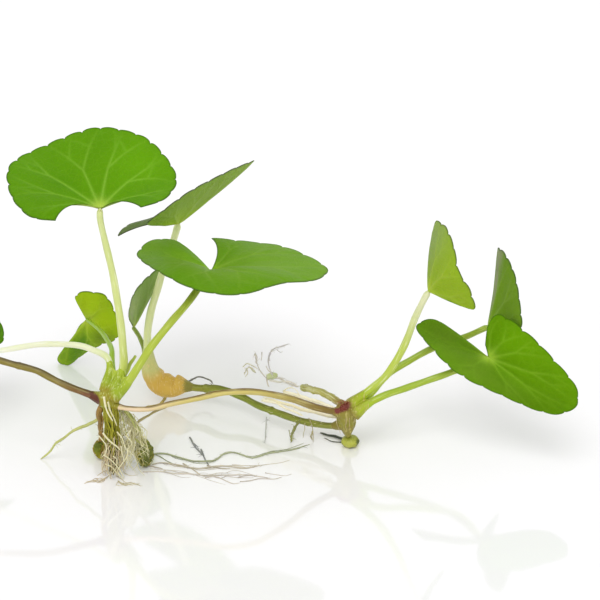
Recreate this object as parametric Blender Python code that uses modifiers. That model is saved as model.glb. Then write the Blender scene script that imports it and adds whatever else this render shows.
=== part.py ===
# Gotu kola, a creeping plant: three rosettes of round leaves, joined by runners and resting on their roots.
# Lengths are in millimetres, and MM turns them into Blender's metres.
# Places are laid out from a point on the surface under the plant, x to the right, y to the back, z up,
# and PLANT_SHIFT then brings the middle of the plant's footprint to the origin.

import math

import bmesh
import bpy
import numpy as np
from mathutils import Vector

MM = 0.001
PLANT_SHIFT = (12.05, -17.9, 0.0)

GAP = 0.3
BLADE_THICKNESS = 0.45
BLADE_CLEARANCE = 1.1
BLADE_RINGS = (0.6, 1.0)
STEPS_PER_TOOTH = 3
TOOTH_DEPTH = 0.5
# The scallops show at the rim only: they fade inward by this power of the way out.
TOOTH_FADE = 6
# The hollow beside the notch fades out over this share of the rim.
HOLLOW_FADE = 0.25
JOIN_WITHIN = 0.01

STALK_STEP = 2.8
STALK_SIDES = 2
ROOT_STEP = 2.2
ROOT_SIDES = 1
ROUTE_SAMPLES = 40

KNOB_SEGMENTS = 14
KNOB_RINGS = 8
RIDGE_TWIST = 2.0
ROUGHNESS = 0.45

COLOURS = {
    "leaf": (0.17, 0.36, 0.015),
    "leaf_under": (0.30, 0.42, 0.06),
    "leaf_dark": (0.10, 0.20, 0.03),
    "stalk": (0.50, 0.62, 0.12),
    "runner_olive": (0.30, 0.27, 0.05),
    "runner_pink": (0.62, 0.42, 0.22),
    "crown_red": (0.30, 0.12, 0.05),
    "crown_orange": (0.65, 0.38, 0.06),
    "bud": (0.35, 0.40, 0.05),
    "root": (0.45, 0.40, 0.16),
    "root_pale": (0.70, 0.64, 0.45),
    "root_dark": (0.12, 0.15, 0.04),
}

# Crowns, the bud, the clods and the root clump: the middle, the half sizes, how much the lower end
# narrows, how many ridges run down the side, how deep they are as a share of the radius, the colour.
KNOBS = {
    "crown_front": ((-42.7, -4.9, 18.4), (2.4, 2.2, 2.7), 0.10, 5, 0.06, "crown_red"),
    "crown_back": ((-32.1, 26.6, 5.4), (3.2, 2.6, 2.7), -0.05, 4, 0.07, "crown_orange"),
    "crown_right": ((10.7, 4.1, 9.2), (2.4, 2.0, 3.8), 0.28, 6, 0.05, "crown_red"),
    "bud_right": ((11.6, 6.3, 1.35), (2.15, 1.9, 1.5), 0.0, 7, 0.03, "bud"),
    "clod_left": ((-45.2, 1.0, 2.3), (2.1, 1.9, 2.5), 0.05, 3, 0.16, "root_dark"),
    "clod_right": ((-35.2, -2.8, 3.4), (2.0, 2.0, 3.6), 0.10, 4, 0.15, "root_dark"),
    "root_clump": ((-41.8, -6.9, 7.2), (2.5, 2.1, 8.2), -0.06, 9, 0.09, "root"),
}
# A fuller knob keeps its width over more of its height; 2 is an ellipsoid.
PLAIN_FULLNESS = 2.0
FULLNESS = {"root_clump": 5.0, "crown_right": 2.6}

# Leaves: the base, where the stalk meets the blade, and the rim as seen from there, from one side of
# the notch round the blade to the other. bow lifts the middle of the blade, teeth are its scallops,
# and hollow is how far each side of the notch curves in from a straight line.
LEAVES = {
    "leaf_front_tall": {
        "base": (-43.0, -1.0, 63.0),
        "rim": [(-9.2, -7.2, 0.2), (-14.5, -7.5, 1.5), (-19.0, -1.5, 4.0),
                (-20.0, 7.0, 7.0), (-14.0, 14.0, 8.5), (-2.5, 18.0, 11.5), (7.0, 16.0, 11.0),
                (12.5, 11.5, 9.0), (16.5, 4.0, 5.5), (14.5, -2.5, 3.5), (9.5, -5.2, 2.5)],
        "bow": 0.6, "teeth": 20, "hollow": (2.4, 1.3), "colour": "leaf",
    },
    "leaf_front_broad": {
        "base": (-20.0, 11.0, 42.5),
        "rim": [(-0.2, 11.5, 3.0), (8.5, 12.5, 1.5), (17.5, 9.0, 1.5),
                (26.0, 0.5, 0.5), (23.5, -7.0, 1.0), (16.0, -12.0, 2.5), (7.0, -16.5, 2.0),
                (-2.0, -15.5, 2.5), (-10.0, -8.5, 3.0), (-17.0, 7.0, 0.5), (-14.0, 12.0, 2.0),
                (-8.5, 13.0, 1.5), (-4.0, 6.5, 1.0)],
        "bow": 2.0, "teeth": 20, "hollow": (1.5, 0.0), "colour": "leaf",
    },
    "leaf_front_low": {
        "base": (-51.5, 40.0, 15.9),
        "rim": [(-2.0, 2.0, -2.5), (-4.5, 5.0, -8.0), (-8.5, 7.5, -14.5), (-6.0, 6.5, -16.0),
                (-1.0, 6.0, -12.0), (3.0, 4.0, -9.0), (7.0, 2.5, -6.5), (7.5, 2.0, -2.5),
                (6.5, 1.5, 2.5), (4.5, -0.5, 7.0), (-0.5, -1.0, 8.0), (-2.5, -1.0, 6.5),
                (-1.0, -0.5, 3.5)],
        "bow": -0.5, "teeth": 14, "hollow": (0.0, 0.0), "colour": "leaf_under",
    },
    "leaf_front_side": {
        "base": (-71.5, 13.0, 21.5),
        "rim": [(-1.5, -5.5, 0.5), (-4.5, -9.5, 1.5), (-9.0, -9.0, 3.0), (-13.0, -4.5, 4.5),
                (-14.0, 3.5, 5.5), (-11.5, 11.0, 6.0), (-6.0, 14.0, 6.0), (-0.5, 12.5, 4.5),
                (2.0, 9.0, 2.5), (3.0, 5.5, 0.0), (1.0, 3.0, -1.0)],
        "bow": 0.6, "teeth": 14, "hollow": (0.6, 0.6), "colour": "leaf",
    },
    "leaf_back_edge": {
        "base": (-28.0, 27.0, 47.0),
        "rim": [(-15.0, 7.0, -6.5), (-12.5, 11.5, -5.5),
                (-5.0, 15.5, -4.5), (4.5, 16.5, 1.5), (12.0, 12.5, 7.5), (17.5, 7.5, 12.5),
                (13.5, 1.0, 13.5), (9.0, -3.5, 13.0), (3.0, -8.5, 11.5), (-2.8, -10.0, 7.6),
                (-6.6, -8.3, 3.6), (-3.0, -3.5, 0.9)],
        "bow": -0.5, "teeth": 20, "hollow": (1.3, 0.0), "colour": "leaf_under",
    },
    "leaf_back_dark": {
        "base": (-39.5, 29.5, 19.0),
        "rim": [(-0.5, 3.0, -0.5), (-1.0, 9.5, 1.0), (0.5, 13.0, 3.5), (3.5, 11.5, 8.0),
                (7.5, 6.5, 13.5), (4.5, 1.0, 13.5), (2.0, -3.5, 12.5), (0.5, -5.5, 10.5),
                (-0.5, -5.0, 5.5), (0.0, -2.5, 2.0)],
        "bow": -0.6, "teeth": 14, "hollow": (0.0, 0.0), "colour": "leaf_dark",
    },
    "leaf_right_upright": {
        "base": (28.5, 3.5, 41.0),
        "rim": [(3.0, -3.0, 0.0), (6.0, -6.0, 0.0), (9.5, -9.0, 0.0), (8.5, -9.0, 4.5),
                (6.0, -7.5, 8.5), (5.0, -3.5, 12.5), (3.5, 1.5, 15.0), (1.5, 7.0, 14.0),
                (2.5, 11.0, 8.5), (4.5, 12.5, 3.0), (6.0, 11.5, -1.5), (6.0, 7.0, -3.5),
                (3.0, 2.5, -2.0)],
        "bow": -0.6, "teeth": 16, "hollow": (0.0, 0.0), "colour": "leaf_under",
    },
    "leaf_right_narrow": {
        "base": (42.8, 12.0, 28.0),
        "rim": [(2.0, -2.5, 1.5), (6.5, -8.0, 3.5), (6.2, -6.5, 9.5), (5.2, -2.5, 14.4),
                (3.5, 3.0, 16.8), (2.2, 7.5, 16.3), (3.2, 11.0, 10.5), (5.0, 12.5, 4.5),
                (5.5, 10.5, 0.0), (4.0, 6.0, -1.5), (2.0, 2.5, -1.0)],
        "bow": 0.3, "teeth": 16, "hollow": (0.0, 0.0), "colour": "leaf_dark",
    },
    "leaf_right_folded": {
        "base": (42.5, 4.5, 24.0),
        "rim": [(-1.0, 0.0, 3.5), (0.0, 1.5, 8.5), (3.0, 1.5, 10.0), (9.0, -3.0, 7.0),
                (14.5, -7.0, 2.5), (18.5, -10.5, -1.5), (19.0, -12.0, -5.5), (15.5, -11.0, -8.5),
                (10.5, -9.5, -8.5), (3.0, -7.5, -6.0), (-7.0, -4.5, -2.0), (-13.0, 3.0, 1.0),
                (-16.0, 9.5, 3.0), (-12.5, 8.5, 5.5), (-8.0, 6.0, 4.0), (-4.0, 2.0, 1.5)],
        "bow": 1.0, "teeth": 20, "hollow": (0.0, 0.0), "colour": "leaf",
    },
}

# Stalks: the route from the crown up to the leaf's base, and the radius at each end.
STALKS = {
    "stalk_front_tall": ("crown_front", "leaf_front_tall", 1.0, 0.7, [
        (-41.5, -4.5, 20.0), (-40.0, -4.5, 23.0), (-39.0, -4.0, 26.5), (-39.0, -3.5, 31.5),
        (-39.5, -3.0, 38.0), (-40.5, -2.0, 46.5), (-42.0, -1.5, 54.5), (-43.0, -1.0, 60.0)]),
    "stalk_front_broad": ("crown_front", "leaf_front_broad", 0.95, 0.8, [
        (-41.2, -5.8, 19.8), (-38.2, -6.5, 22.5), (-35.0, -6.5, 27.5), (-32.0, -5.0, 32.5),
        (-26.5, 0.0, 37.5), (-22.0, 5.0, 39.0)]),
    "stalk_front_low": ("crown_front", "leaf_front_low", 0.9, 0.6, [
        (-42.3, -3.0, 19.4), (-41.9, 0.0, 21.8), (-42.4, 5.0, 23.0), (-43.0, 11.0, 23.0),
        (-45.0, 21.0, 20.5), (-48.0, 31.0, 18.0)]),
    "stalk_front_side": ("crown_front", "leaf_front_side", 0.85, 0.7, [
        (-43.2, -4.3, 20.5), (-42.9, -3.6, 22.5), (-42.5, -2.7, 24.6), (-43.1, -0.8, 26.3),
        (-46.0, 2.4, 26.9), (-50.5, 6.0, 26.5), (-58.0, 9.0, 25.0), (-64.5, 11.0, 23.0),
        (-69.5, 12.5, 21.5)]),
    "stalk_back_edge": ("crown_back", "leaf_back_edge", 0.95, 0.8, [
        (-33.0, 26.5, 6.0), (-35.3, 26.5, 8.5), (-36.0, 27.5, 12.5), (-36.0, 28.0, 18.0),
        (-35.0, 28.5, 23.5), (-33.5, 28.5, 29.0), (-31.5, 28.0, 36.5), (-29.5, 27.5, 42.0)]),
    "stalk_back_dark": ("crown_back", "leaf_back_dark", 0.7, 0.55, [
        (-33.0, 28.0, 5.0), (-35.0, 30.0, 6.5), (-36.8, 31.0, 10.0), (-37.3, 31.5, 13.0),
        (-38.2, 31.2, 15.8)]),
    "stalk_right_upright": ("crown_right", "leaf_right_upright", 0.95, 0.75, [
        (12.0, 4.2, 12.3), (16.5, 3.5, 17.0), (20.0, 3.0, 21.0), (23.0, 3.0, 27.0),
        (25.5, 3.5, 34.0), (27.5, 3.5, 39.0)]),
    "stalk_right_narrow": ("crown_right", "leaf_right_narrow", 0.9, 0.75, [
        (12.3, 5.4, 10.0), (16.5, 9.0, 12.5), (20.2, 12.0, 15.6), (24.2, 13.5, 18.0),
        (29.5, 15.0, 20.5), (34.5, 15.0, 22.6), (38.5, 14.0, 24.8)]),
    "stalk_right_folded": ("crown_right", "leaf_right_folded", 0.9, 0.75, [
        (12.6, 2.6, 10.9), (15.5, 2.7, 13.3), (19.5, 3.6, 15.0), (24.5, 5.3, 15.8),
        (30.5, 7.0, 17.4), (35.5, 8.0, 18.9), (39.5, 7.0, 21.0)]),
}

# Runners, roots and stubs: the route, the radius at its first and last point, the knobs that it
# stops short of, and its colour. A route whose points have z 0 lies on the surface.
RUNNERS = {
    "runner_left": (0.85, 0.75, ("crown_front",), "runner_olive", [
        (-43.5, -4.7, 18.2), (-48.5, -4.0, 20.0), (-54.0, -3.0, 22.0), (-59.5, -1.5, 24.0),
        (-67.0, 0.5, 25.5), (-72.0, 2.0, 26.5), (-77.5, 3.5, 27.0)]),
    "runner_front": (0.65, 0.9, ("crown_front", "crown_right"), "runner_pink", [
        (-42.0, -5.7, 17.5), (-38.0, -6.5, 17.0), (-33.5, -6.5, 17.0), (-28.5, -6.0, 18.0),
        (-22.0, -5.5, 19.0), (-16.0, -5.0, 20.0), (-10.5, -4.0, 20.0), (-6.5, -2.5, 18.5),
        (-2.0, -0.5, 16.5), (2.5, 1.5, 13.5), (7.0, 3.0, 11.5), (10.0, 4.0, 10.3)]),
    "runner_back": (0.9, 0.7, ("crown_back", "crown_right"), "runner_olive", [
        (-31.0, 26.3, 6.0), (-27.5, 25.5, 5.5), (-23.0, 24.5, 5.5), (-19.0, 22.5, 6.2),
        (-14.0, 20.0, 5.5), (-10.0, 17.0, 5.0), (-6.0, 14.0, 5.0), (-0.5, 10.5, 4.5),
        (3.5, 8.5, 4.6), (7.5, 6.0, 5.6), (10.2, 4.6, 7.0)]),
}
STUBS = {
    "stub_right": (0.85, 0.7, ("crown_right",), "runner_olive", [
        (10.2, 5.2, 11.4), (8.0, 7.8, 11.5), (6.0, 10.0, 11.5), (3.5, 12.0, 11.5),
        (0.5, 14.5, 11.0)]),
    "sheath_front": (0.8, 0.3, ("crown_front",), "stalk", [
        (-41.0, -3.2, 19.5), (-39.4, -1.8, 22.0), (-38.2, -1.0, 24.5), (-36.6, -0.4, 27.0)]),
}
ROOTS = {
    "root_stem": (0.7, 0.45, ("crown_front", "clod_left"), "root_dark", [
        (-44.1, -5.6, 17.2), (-45.0, -5.0, 14.5), (-44.8, -3.4, 11.0), (-45.1, -1.2, 7.4),
        (-45.2, 0.6, 4.6)]),
    "root_side": (0.8, 0.6, ("crown_front", "clod_right"), "root", [
        (-41.3, -4.0, 16.8), (-38.9, -3.6, 14.5), (-37.4, -3.4, 12.0), (-36.2, -3.1, 9.0),
        (-35.4, -2.8, 6.0)]),
    "root_taper": (0.5, 0.25, (), "root", [
        (-46.0, -4.3, 12.4), (-47.8, -3.5, 11.2), (-51.9, -2.0, 8.2), (-55.4, -0.5, 4.5),
        (-57.9, 0.3, 1.1), (-59.2, 0.3, 0.0)]),
    "root_floor_long": (0.4, 0.3, ("clod_right",), "root_pale", [
        (-35.2, 0.0, 0.0), (-33.7, 2.0, 0.0), (-30.7, 2.5, 0.0), (-27.2, 0.5, 0.0),
        (-23.9, -0.9, 0.0), (-19.8, -0.5, 0.0), (-17.6, 2.3, 0.0), (-15.1, 3.2, 0.0),
        (-11.0, 0.9, 0.0), (-7.1, 2.7, 0.0), (-1.8, 4.6, 0.0), (2.2, 7.0, 0.0)]),
    "root_floor_mid": (0.35, 0.25, ("clod_right",), "root_pale", [
        (-33.5, -2.2, 0.0), (-31.2, -1.4, 0.0), (-27.2, -2.7, 0.0), (-22.7, -3.8, 0.0),
        (-17.7, -3.1, 0.0), (-12.5, -3.8, 0.0), (-8.6, -2.3, 0.0)]),
    "root_floor_near": (0.35, 0.25, ("clod_right", "root_clump"), "root_pale", [
        (-35.5, -5.6, 0.0), (-31.0, -5.4, 0.0), (-27.1, -6.3, 0.0), (-19.1, -7.1, 0.0),
        (-12.8, -6.7, 0.0), (-6.7, -8.2, 0.0)]),
    "root_floor_cross": (0.3, 0.2, (), "root_pale", [
        (-25.6, 10.1, 0.0), (-24.0, 5.5, 0.0), (-22.0, 1.6, 0.0)]),
    "root_foot_left": (0.4, 0.2, ("root_clump",), "root_pale", [
        (-43.5, -8.0, 0.0), (-44.8, -9.6, 0.0), (-46.5, -9.2, 0.0), (-48.3, -10.6, 0.0)]),
    "root_foot_right": (0.4, 0.2, ("root_clump",), "root_pale", [
        (-40.8, -9.6, 0.0), (-39.6, -11.2, 0.0), (-37.4, -10.8, 0.0), (-35.6, -11.6, 0.0)]),
    "root_straw": (0.6, 0.35, ("crown_right",), "root_pale", [
        (9.8, 5.3, 8.0), (6.0, 8.2, 7.3), (2.0, 10.2, 7.2), (-2.0, 12.0, 7.2),
        (-5.0, 14.0, 7.4), (-8.5, 16.5, 7.2)]),
    "root_thread_right": (0.35, 0.2, (), "root", [
        (2.9, 7.9, 3.1), (2.6, 8.2, 1.8), (2.8, 8.6, 0.3)]),
    "root_thread_mid": (0.35, 0.2, (), "root", [
        (-1.2, 9.9, 3.1), (-1.7, 8.6, 1.9), (-2.0, 7.6, 0.3)]),
    "root_thread_left": (0.3, 0.2, (), "root_pale", [
        (-7.8, 13.8, 3.6), (-7.9, 13.2, 2.2), (-8.0, 11.0, 0.6), (-8.1, 7.5, 0.2)]),
    "root_under_back": (0.6, 0.3, ("crown_back",), "root", [
        (-31.6, 26.6, 4.0), (-32.6, 26.2, 1.4), (-34.2, 25.2, 0.0), (-37.0, 24.6, 0.0)]),
    "root_loop_back": (0.25, 0.2, (), "root_dark", [
        (-26.7, 27.4, 5.6), (-25.4, 30.0, 4.9), (-23.5, 31.0, 4.8), (-21.6, 30.0, 4.7),
        (-21.0, 28.0, 4.6)]),
    "root_dry_main": (0.35, 0.2, (), "root_pale", [
        (-0.4, 15.2, 10.9), (-2.5, 17.0, 10.5), (-5.0, 19.0, 11.0), (-7.5, 20.0, 10.5),
        (-9.0, 21.0, 11.2), (-10.0, 22.0, 12.8), (-10.6, 22.6, 15.6)]),
    "root_dry_tall": (0.25, 0.2, (), "root_pale", [
        (-6.4, 18.9, 11.9), (-7.1, 19.5, 13.4), (-7.5, 20.0, 15.5), (-6.5, 20.5, 17.5),
        (-2.5, 21.0, 19.0)]),
    "root_dry_low": (0.25, 0.2, (), "root_pale", [
        (-10.4, 21.0, 11.4), (-12.0, 22.5, 12.2), (-13.2, 24.0, 9.4)]),
}


def clear_scene():
    for obj in list(bpy.data.objects):
        bpy.data.objects.remove(obj, do_unlink=True)


def make_material(name, colour):
    material = bpy.data.materials.new(name)
    material.use_nodes = True
    shader = material.node_tree.nodes["Principled BSDF"]
    shader.inputs["Base Color"].default_value = (*colour, 1.0)
    shader.inputs["Roughness"].default_value = ROUGHNESS
    shader.inputs["Metallic"].default_value = 0.0
    return material


def smooth_route(points, samples=ROUTE_SAMPLES):
    """Points close together along a smooth curve through the given ones."""
    p = np.array(points, float)
    p = np.vstack([2 * p[0] - p[1], p, 2 * p[-1] - p[-2]])
    t = np.linspace(0.0, 1.0, samples, endpoint=False)[:, None]
    pieces = []
    for a, b, c, d in zip(p[:-3], p[1:-2], p[2:-1], p[3:]):
        pieces.append(0.5 * (2 * b + (c - a) * t + (2 * a - 5 * b + 4 * c - d) * t**2
                             + (3 * b - 3 * c + d - a) * t**3))
    return np.vstack(pieces + [p[-2:-1]])


def even_steps(route, count):
    """The route read again at count points, the same way apart along it."""
    along = np.concatenate([[0.0], np.cumsum(np.linalg.norm(np.diff(route, axis=0), axis=1))])
    at = np.linspace(0.0, along[-1], count)
    return np.stack([np.interp(at, along, route[:, k]) for k in range(3)], axis=1)


def outside_knobs(route, names, radius):
    """The stretch of a route that stays clear of the knobs that it springs from or runs to."""
    keep = np.ones(len(route), bool)
    for name in names:
        middle, half = KNOBS[name][:2]
        grown = np.array(half) + GAP + 0.5 * radius
        keep &= np.linalg.norm((route - middle) / grown, axis=1) > 1.0
    return route[keep]


def place(obj, material, plant, collection):
    for old in list(obj.users_collection):
        old.objects.unlink(obj)
    collection.objects.link(obj)
    obj.data.materials.append(material)
    obj.parent = plant


def make_tube(name, route, radii, step, sides):
    """A round stem along the route, thick as radii say at its two ends."""
    length = np.linalg.norm(np.diff(route, axis=0), axis=1).sum()
    count = max(4, int(round(length / step)) + 1)
    points = even_steps(route, count)
    widest = max(radii)
    curve = bpy.data.curves.new(name, "CURVE")
    curve.dimensions = "3D"
    curve.bevel_depth = widest * MM
    curve.bevel_resolution = sides
    curve.use_fill_caps = True
    spline = curve.splines.new("POLY")
    spline.points.add(count - 1)
    for i, point in enumerate(points):
        spline.points[i].co = (*(point * MM), 1.0)
        spline.points[i].radius = float(np.interp(i / (count - 1), (0, 1), radii)) / widest
    obj = bpy.data.objects.new(name, curve)
    bpy.context.scene.collection.objects.link(obj)
    return obj


def make_knob(name, middle, half, narrowing, ridges, ridge_depth):
    """A rounded body with ridges down its side; what would reach below the surface is flat on it."""
    bm = bmesh.new()
    bmesh.ops.create_uvsphere(bm, u_segments=KNOB_SEGMENTS, v_segments=KNOB_RINGS, radius=1.0)
    fullness = FULLNESS.get(name, PLAIN_FULLNESS)
    for vert in bm.verts:
        x, y, z = vert.co
        level = math.hypot(x, y)
        if level > 1e-4:
            angle = math.atan2(y, x)
            width = (1.0 - abs(z) ** fullness) ** 0.5 * (1.0 + narrowing * z)
            width *= 1.0 + ridge_depth * math.cos(ridges * angle + RIDGE_TWIST * z)
            x, y = x / level * width, y / level * width
        vert.co = Vector((middle[0] + half[0] * x, middle[1] + half[1] * y,
                          max(0.0, middle[2] + half[2] * z))) * MM
    mesh = bpy.data.meshes.new(name)
    bm.to_mesh(mesh)
    bm.free()
    mesh.shade_smooth()
    obj = bpy.data.objects.new(name, mesh)
    bpy.context.scene.collection.objects.link(obj)
    return obj


def make_blade(name, leaf):
    """A leaf blade: rays run from its base to the scalloped rim, and Solidify gives it its thickness."""
    base = np.array(leaf["base"])
    steps = leaf["teeth"] * STEPS_PER_TOOTH
    rim = even_steps(smooth_route(leaf["rim"]), steps + 1)
    upper_side = np.cross(rim[1:], rim[:-1]).sum(axis=0)
    upper_side /= np.linalg.norm(upper_side)
    heart = rim.mean(axis=0)
    bm = bmesh.new()
    bmesh.ops.create_grid(bm, x_segments=steps, y_segments=len(BLADE_RINGS), size=1.0)
    for vert in bm.verts:
        i = int(round((vert.co.x + 1.0) / 2.0 * steps))
        ring = int(round((vert.co.y + 1.0) / 2.0 * len(BLADE_RINGS)))
        share = 0.0 if ring == 0 else BLADE_RINGS[ring - 1]
        along = i / steps
        reach = np.linalg.norm(rim[i])
        scallop = abs(math.sin(math.pi * leaf["teeth"] * along)) - 1.0
        out = share * (1.0 + scallop * TOOTH_DEPTH * share**TOOTH_FADE / reach)
        lift = leaf["bow"] * 4.0 * share * (1.0 - share) * math.sin(math.pi * along)
        inward = heart - rim[i] * (heart @ rim[i]) / reach**2
        inward /= np.linalg.norm(inward)
        nearest = min(along, 1.0 - along)
        hollow = leaf["hollow"][0 if along < 0.5 else 1] * max(0.0, 1.0 - nearest / HOLLOW_FADE)
        curve = hollow * 4.0 * share * (1.0 - share)
        vert.co = Vector((base + rim[i] * out + upper_side * lift + inward * curve) * MM)
    bmesh.ops.remove_doubles(bm, verts=bm.verts, dist=JOIN_WITHIN * MM)
    bmesh.ops.recalc_face_normals(bm, faces=bm.faces)
    mesh = bpy.data.meshes.new(name)
    bm.to_mesh(mesh)
    bm.free()
    mesh.shade_smooth()
    obj = bpy.data.objects.new(name, mesh)
    bpy.context.scene.collection.objects.link(obj)
    shell = obj.modifiers.new("Thickness", "SOLIDIFY")
    shell.thickness = BLADE_THICKNESS * MM
    shell.offset = 0.0
    shell.use_even_offset = False
    return obj


def main():
    clear_scene()
    plants = bpy.data.collections.new("gotu_kola")
    bpy.context.scene.collection.children.link(plants)
    materials = {name: make_material(name, colour) for name, colour in COLOURS.items()}
    plant = bpy.data.objects.new("plant", None)
    plant.location = Vector(PLANT_SHIFT) * MM
    plants.objects.link(plant)

    for name, (middle, half, narrowing, ridges, depth, colour) in KNOBS.items():
        obj = make_knob(name, middle, half, narrowing, ridges, depth)
        place(obj, materials[colour], plant, plants)

    for name, leaf in LEAVES.items():
        place(make_blade(name, leaf), materials[leaf["colour"]], plant, plants)

    for name, (crown, leaf, low, high, points) in STALKS.items():
        route = smooth_route(points + [LEAVES[leaf]["base"]])
        route = outside_knobs(route, (crown,), low)
        to_blade = np.linalg.norm(route - np.array(LEAVES[leaf]["base"]), axis=1)
        route = route[to_blade > BLADE_CLEARANCE]
        obj = make_tube(name, route, (low, high), STALK_STEP, STALK_SIDES)
        place(obj, materials["stalk"], plant, plants)

    for name, (first, last, knobs, colour, points) in {**RUNNERS, **STUBS, **ROOTS}.items():
        thin = name in ROOTS
        route = smooth_route(points)
        route = outside_knobs(route, knobs, first)
        if thin:
            lowest = np.linspace(first, last, len(route))
            route[:, 2] = np.maximum(route[:, 2], lowest)
        obj = make_tube(name, route, (first, last), ROOT_STEP if thin else STALK_STEP,
                        ROOT_SIDES if thin else STALK_SIDES)
        place(obj, materials[colour], plant, plants)


main()
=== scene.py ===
import math

import bpy
import numpy as np
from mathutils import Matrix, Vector, kdtree, noise


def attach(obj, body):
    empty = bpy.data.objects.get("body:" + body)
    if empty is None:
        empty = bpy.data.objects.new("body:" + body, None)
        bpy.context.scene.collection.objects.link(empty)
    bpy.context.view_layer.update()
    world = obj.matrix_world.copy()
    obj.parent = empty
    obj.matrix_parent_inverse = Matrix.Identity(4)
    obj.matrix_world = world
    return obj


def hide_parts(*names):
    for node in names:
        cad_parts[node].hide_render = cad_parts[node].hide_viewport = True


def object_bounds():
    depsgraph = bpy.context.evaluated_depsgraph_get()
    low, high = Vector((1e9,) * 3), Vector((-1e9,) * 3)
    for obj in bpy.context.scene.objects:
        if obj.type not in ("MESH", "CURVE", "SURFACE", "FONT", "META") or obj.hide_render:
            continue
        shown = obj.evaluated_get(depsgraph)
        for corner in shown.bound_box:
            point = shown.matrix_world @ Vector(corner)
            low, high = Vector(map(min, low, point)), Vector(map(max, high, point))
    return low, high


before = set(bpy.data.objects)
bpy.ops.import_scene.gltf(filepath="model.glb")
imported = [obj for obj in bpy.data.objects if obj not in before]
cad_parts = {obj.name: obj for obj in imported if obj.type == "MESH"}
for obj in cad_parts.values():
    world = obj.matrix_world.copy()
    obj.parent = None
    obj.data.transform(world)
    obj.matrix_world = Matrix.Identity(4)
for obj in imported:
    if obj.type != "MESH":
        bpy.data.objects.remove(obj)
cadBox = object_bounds()

# Gotu kola: three rosettes of round leaves, joined by runners, resting on their roots.
# Places are in millimetres, x to the right, y to the back, z up, from the spot that the solids are
# laid out from. plantShift then brings the middle of the footprint to the origin.
mm = 0.001
plantShift = np.array([12.05, -17.9, 0.0])
chance = np.random.default_rng(11)
insideBox = np.array([list(corner) for corner in cadBox])    # no piece reaches out of the solids' box

view = {
    "elevation": 26.0,    # degrees down
    "distance": 480.0,    # mm from the target
    "target": (0.0, 0.0, 40.616),
    "focal": 2181.8,      # pixels of a 600 pixel frame
    "frame": 600.0,
    "sensor": 36.0,
    "clip": (0.01, 20.0),    # metres
}


def cameraAxes():
    # Where the camera stands, where it looks, and which way is up in the picture.
    tilt = math.radians(view["elevation"])
    forward = np.array([0.0, math.cos(tilt), -math.sin(tilt)])
    upward = np.array([0.0, math.sin(tilt), math.cos(tilt)])
    return np.array(view["target"]) - view["distance"] * forward, forward, upward


def seen(px, py, depth=None):
    # The spot that the photograph's pixel px, py shows: at this depth (y, mm), or on the surface.
    place, forward, upward = cameraAxes()
    half = view["frame"] / 2
    ray = forward * view["focal"] + np.array([px - half, 0.0, 0.0]) - upward * (py - half)
    if depth is None:
        return place - ray * place[2] / ray[2]
    return place + ray * (depth - place[1]) / ray[1]


def traced(pixels, depths=None):
    # A route through these pixels, from the first depth to the last one, or on the surface.
    if depths is None:
        return [seen(*pixel) for pixel in pixels]
    return [seen(*pixel, depth) for pixel, depth in zip(pixels, np.linspace(*depths, len(pixels)))]


def makeCamera():
    place, _, _ = cameraAxes()
    data = bpy.data.cameras.new("photoCamera")
    data.sensor_width = view["sensor"]
    data.lens = view["sensor"] * view["focal"] / view["frame"]
    data.clip_start, data.clip_end = view["clip"]
    camera = bpy.data.objects.new("photoCamera", data)
    camera.location = Vector((place + plantShift) * mm)
    camera.rotation_euler = (math.radians(90.0 - view["elevation"]), 0.0, 0.0)
    bpy.context.scene.collection.objects.link(camera)
    bpy.context.scene.camera = camera


makeCamera()
print("camera ready")


# Shader helpers

def colour(code):
    # A colour written as in a paint program, in the linear values that shaders take.
    parts = [int(code[i:i + 2], 16) / 255 for i in (0, 2, 4)]
    return tuple(p / 12.92 if p <= 0.04045 else ((p + 0.055) / 1.055) ** 2.4 for p in parts) + (1.0,)


def addNode(tree, kind, inputs=None, **settings):
    made = tree.nodes.new(kind)
    for name, value in settings.items():
        setattr(made, name, value)
    for key, value in (inputs or {}).items():
        if isinstance(value, bpy.types.NodeSocket):
            tree.links.new(value, made.inputs[key])
        else:
            made.inputs[key].default_value = value
    return made


def calc(tree, operation, first, second):
    return addNode(tree, "ShaderNodeMath", {0: first, 1: second}, operation=operation).outputs[0]


def times(tree, first, second):
    return calc(tree, "MULTIPLY", first, second)


def blendColours(tree, share, first, second):
    return addNode(tree, "ShaderNodeMix", {0: share, 6: first, 7: second}, data_type="RGBA").outputs[2]


def ramp(tree, value, low, high):
    # 0 below low and 1 above high, smooth between.
    made = addNode(tree, "ShaderNodeMapRange", {0: value, 1: low, 2: high}, interpolation_type="SMOOTHSTEP")
    return made.outputs[0]


def grainOf(tree, place, scale, detail):
    return addNode(tree, "ShaderNodeTexNoise", {"Vector": place, "Scale": scale, "Detail": detail}).outputs[0]


def drawnOut(tree, skin, share):
    # The places on a stem's skin, so that the pattern there is drawn out along it.
    made = addNode(tree, "ShaderNodeVectorMath", {0: skin, 1: (1.0, 1.0, share)}, operation="MULTIPLY")
    return made.outputs[0]


def newGroup(name, colours, numbers, vectors=()):
    # An empty group with these inputs, and the three outputs that newMaterial uses.
    group = bpy.data.node_groups.new(name, "ShaderNodeTree")
    for kind, labels in (("Color", colours), ("Float", numbers), ("Vector", vectors)):
        for label in labels:
            group.interface.new_socket(name=label, in_out="INPUT", socket_type="NodeSocket" + kind)
    for label, kind in (("Color", "Color"), ("Roughness", "Float"), ("Height", "Float")):
        group.interface.new_socket(name=label, in_out="OUTPUT", socket_type="NodeSocket" + kind)
    return group, group.nodes.new("NodeGroupInput").outputs


def finishGroup(group, shade, rough, height):
    result = group.nodes.new("NodeGroupOutput")
    for label, socket in (("Color", shade), ("Roughness", rough), ("Height", height)):
        group.links.new(socket, result.inputs[label])
    return group


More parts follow.
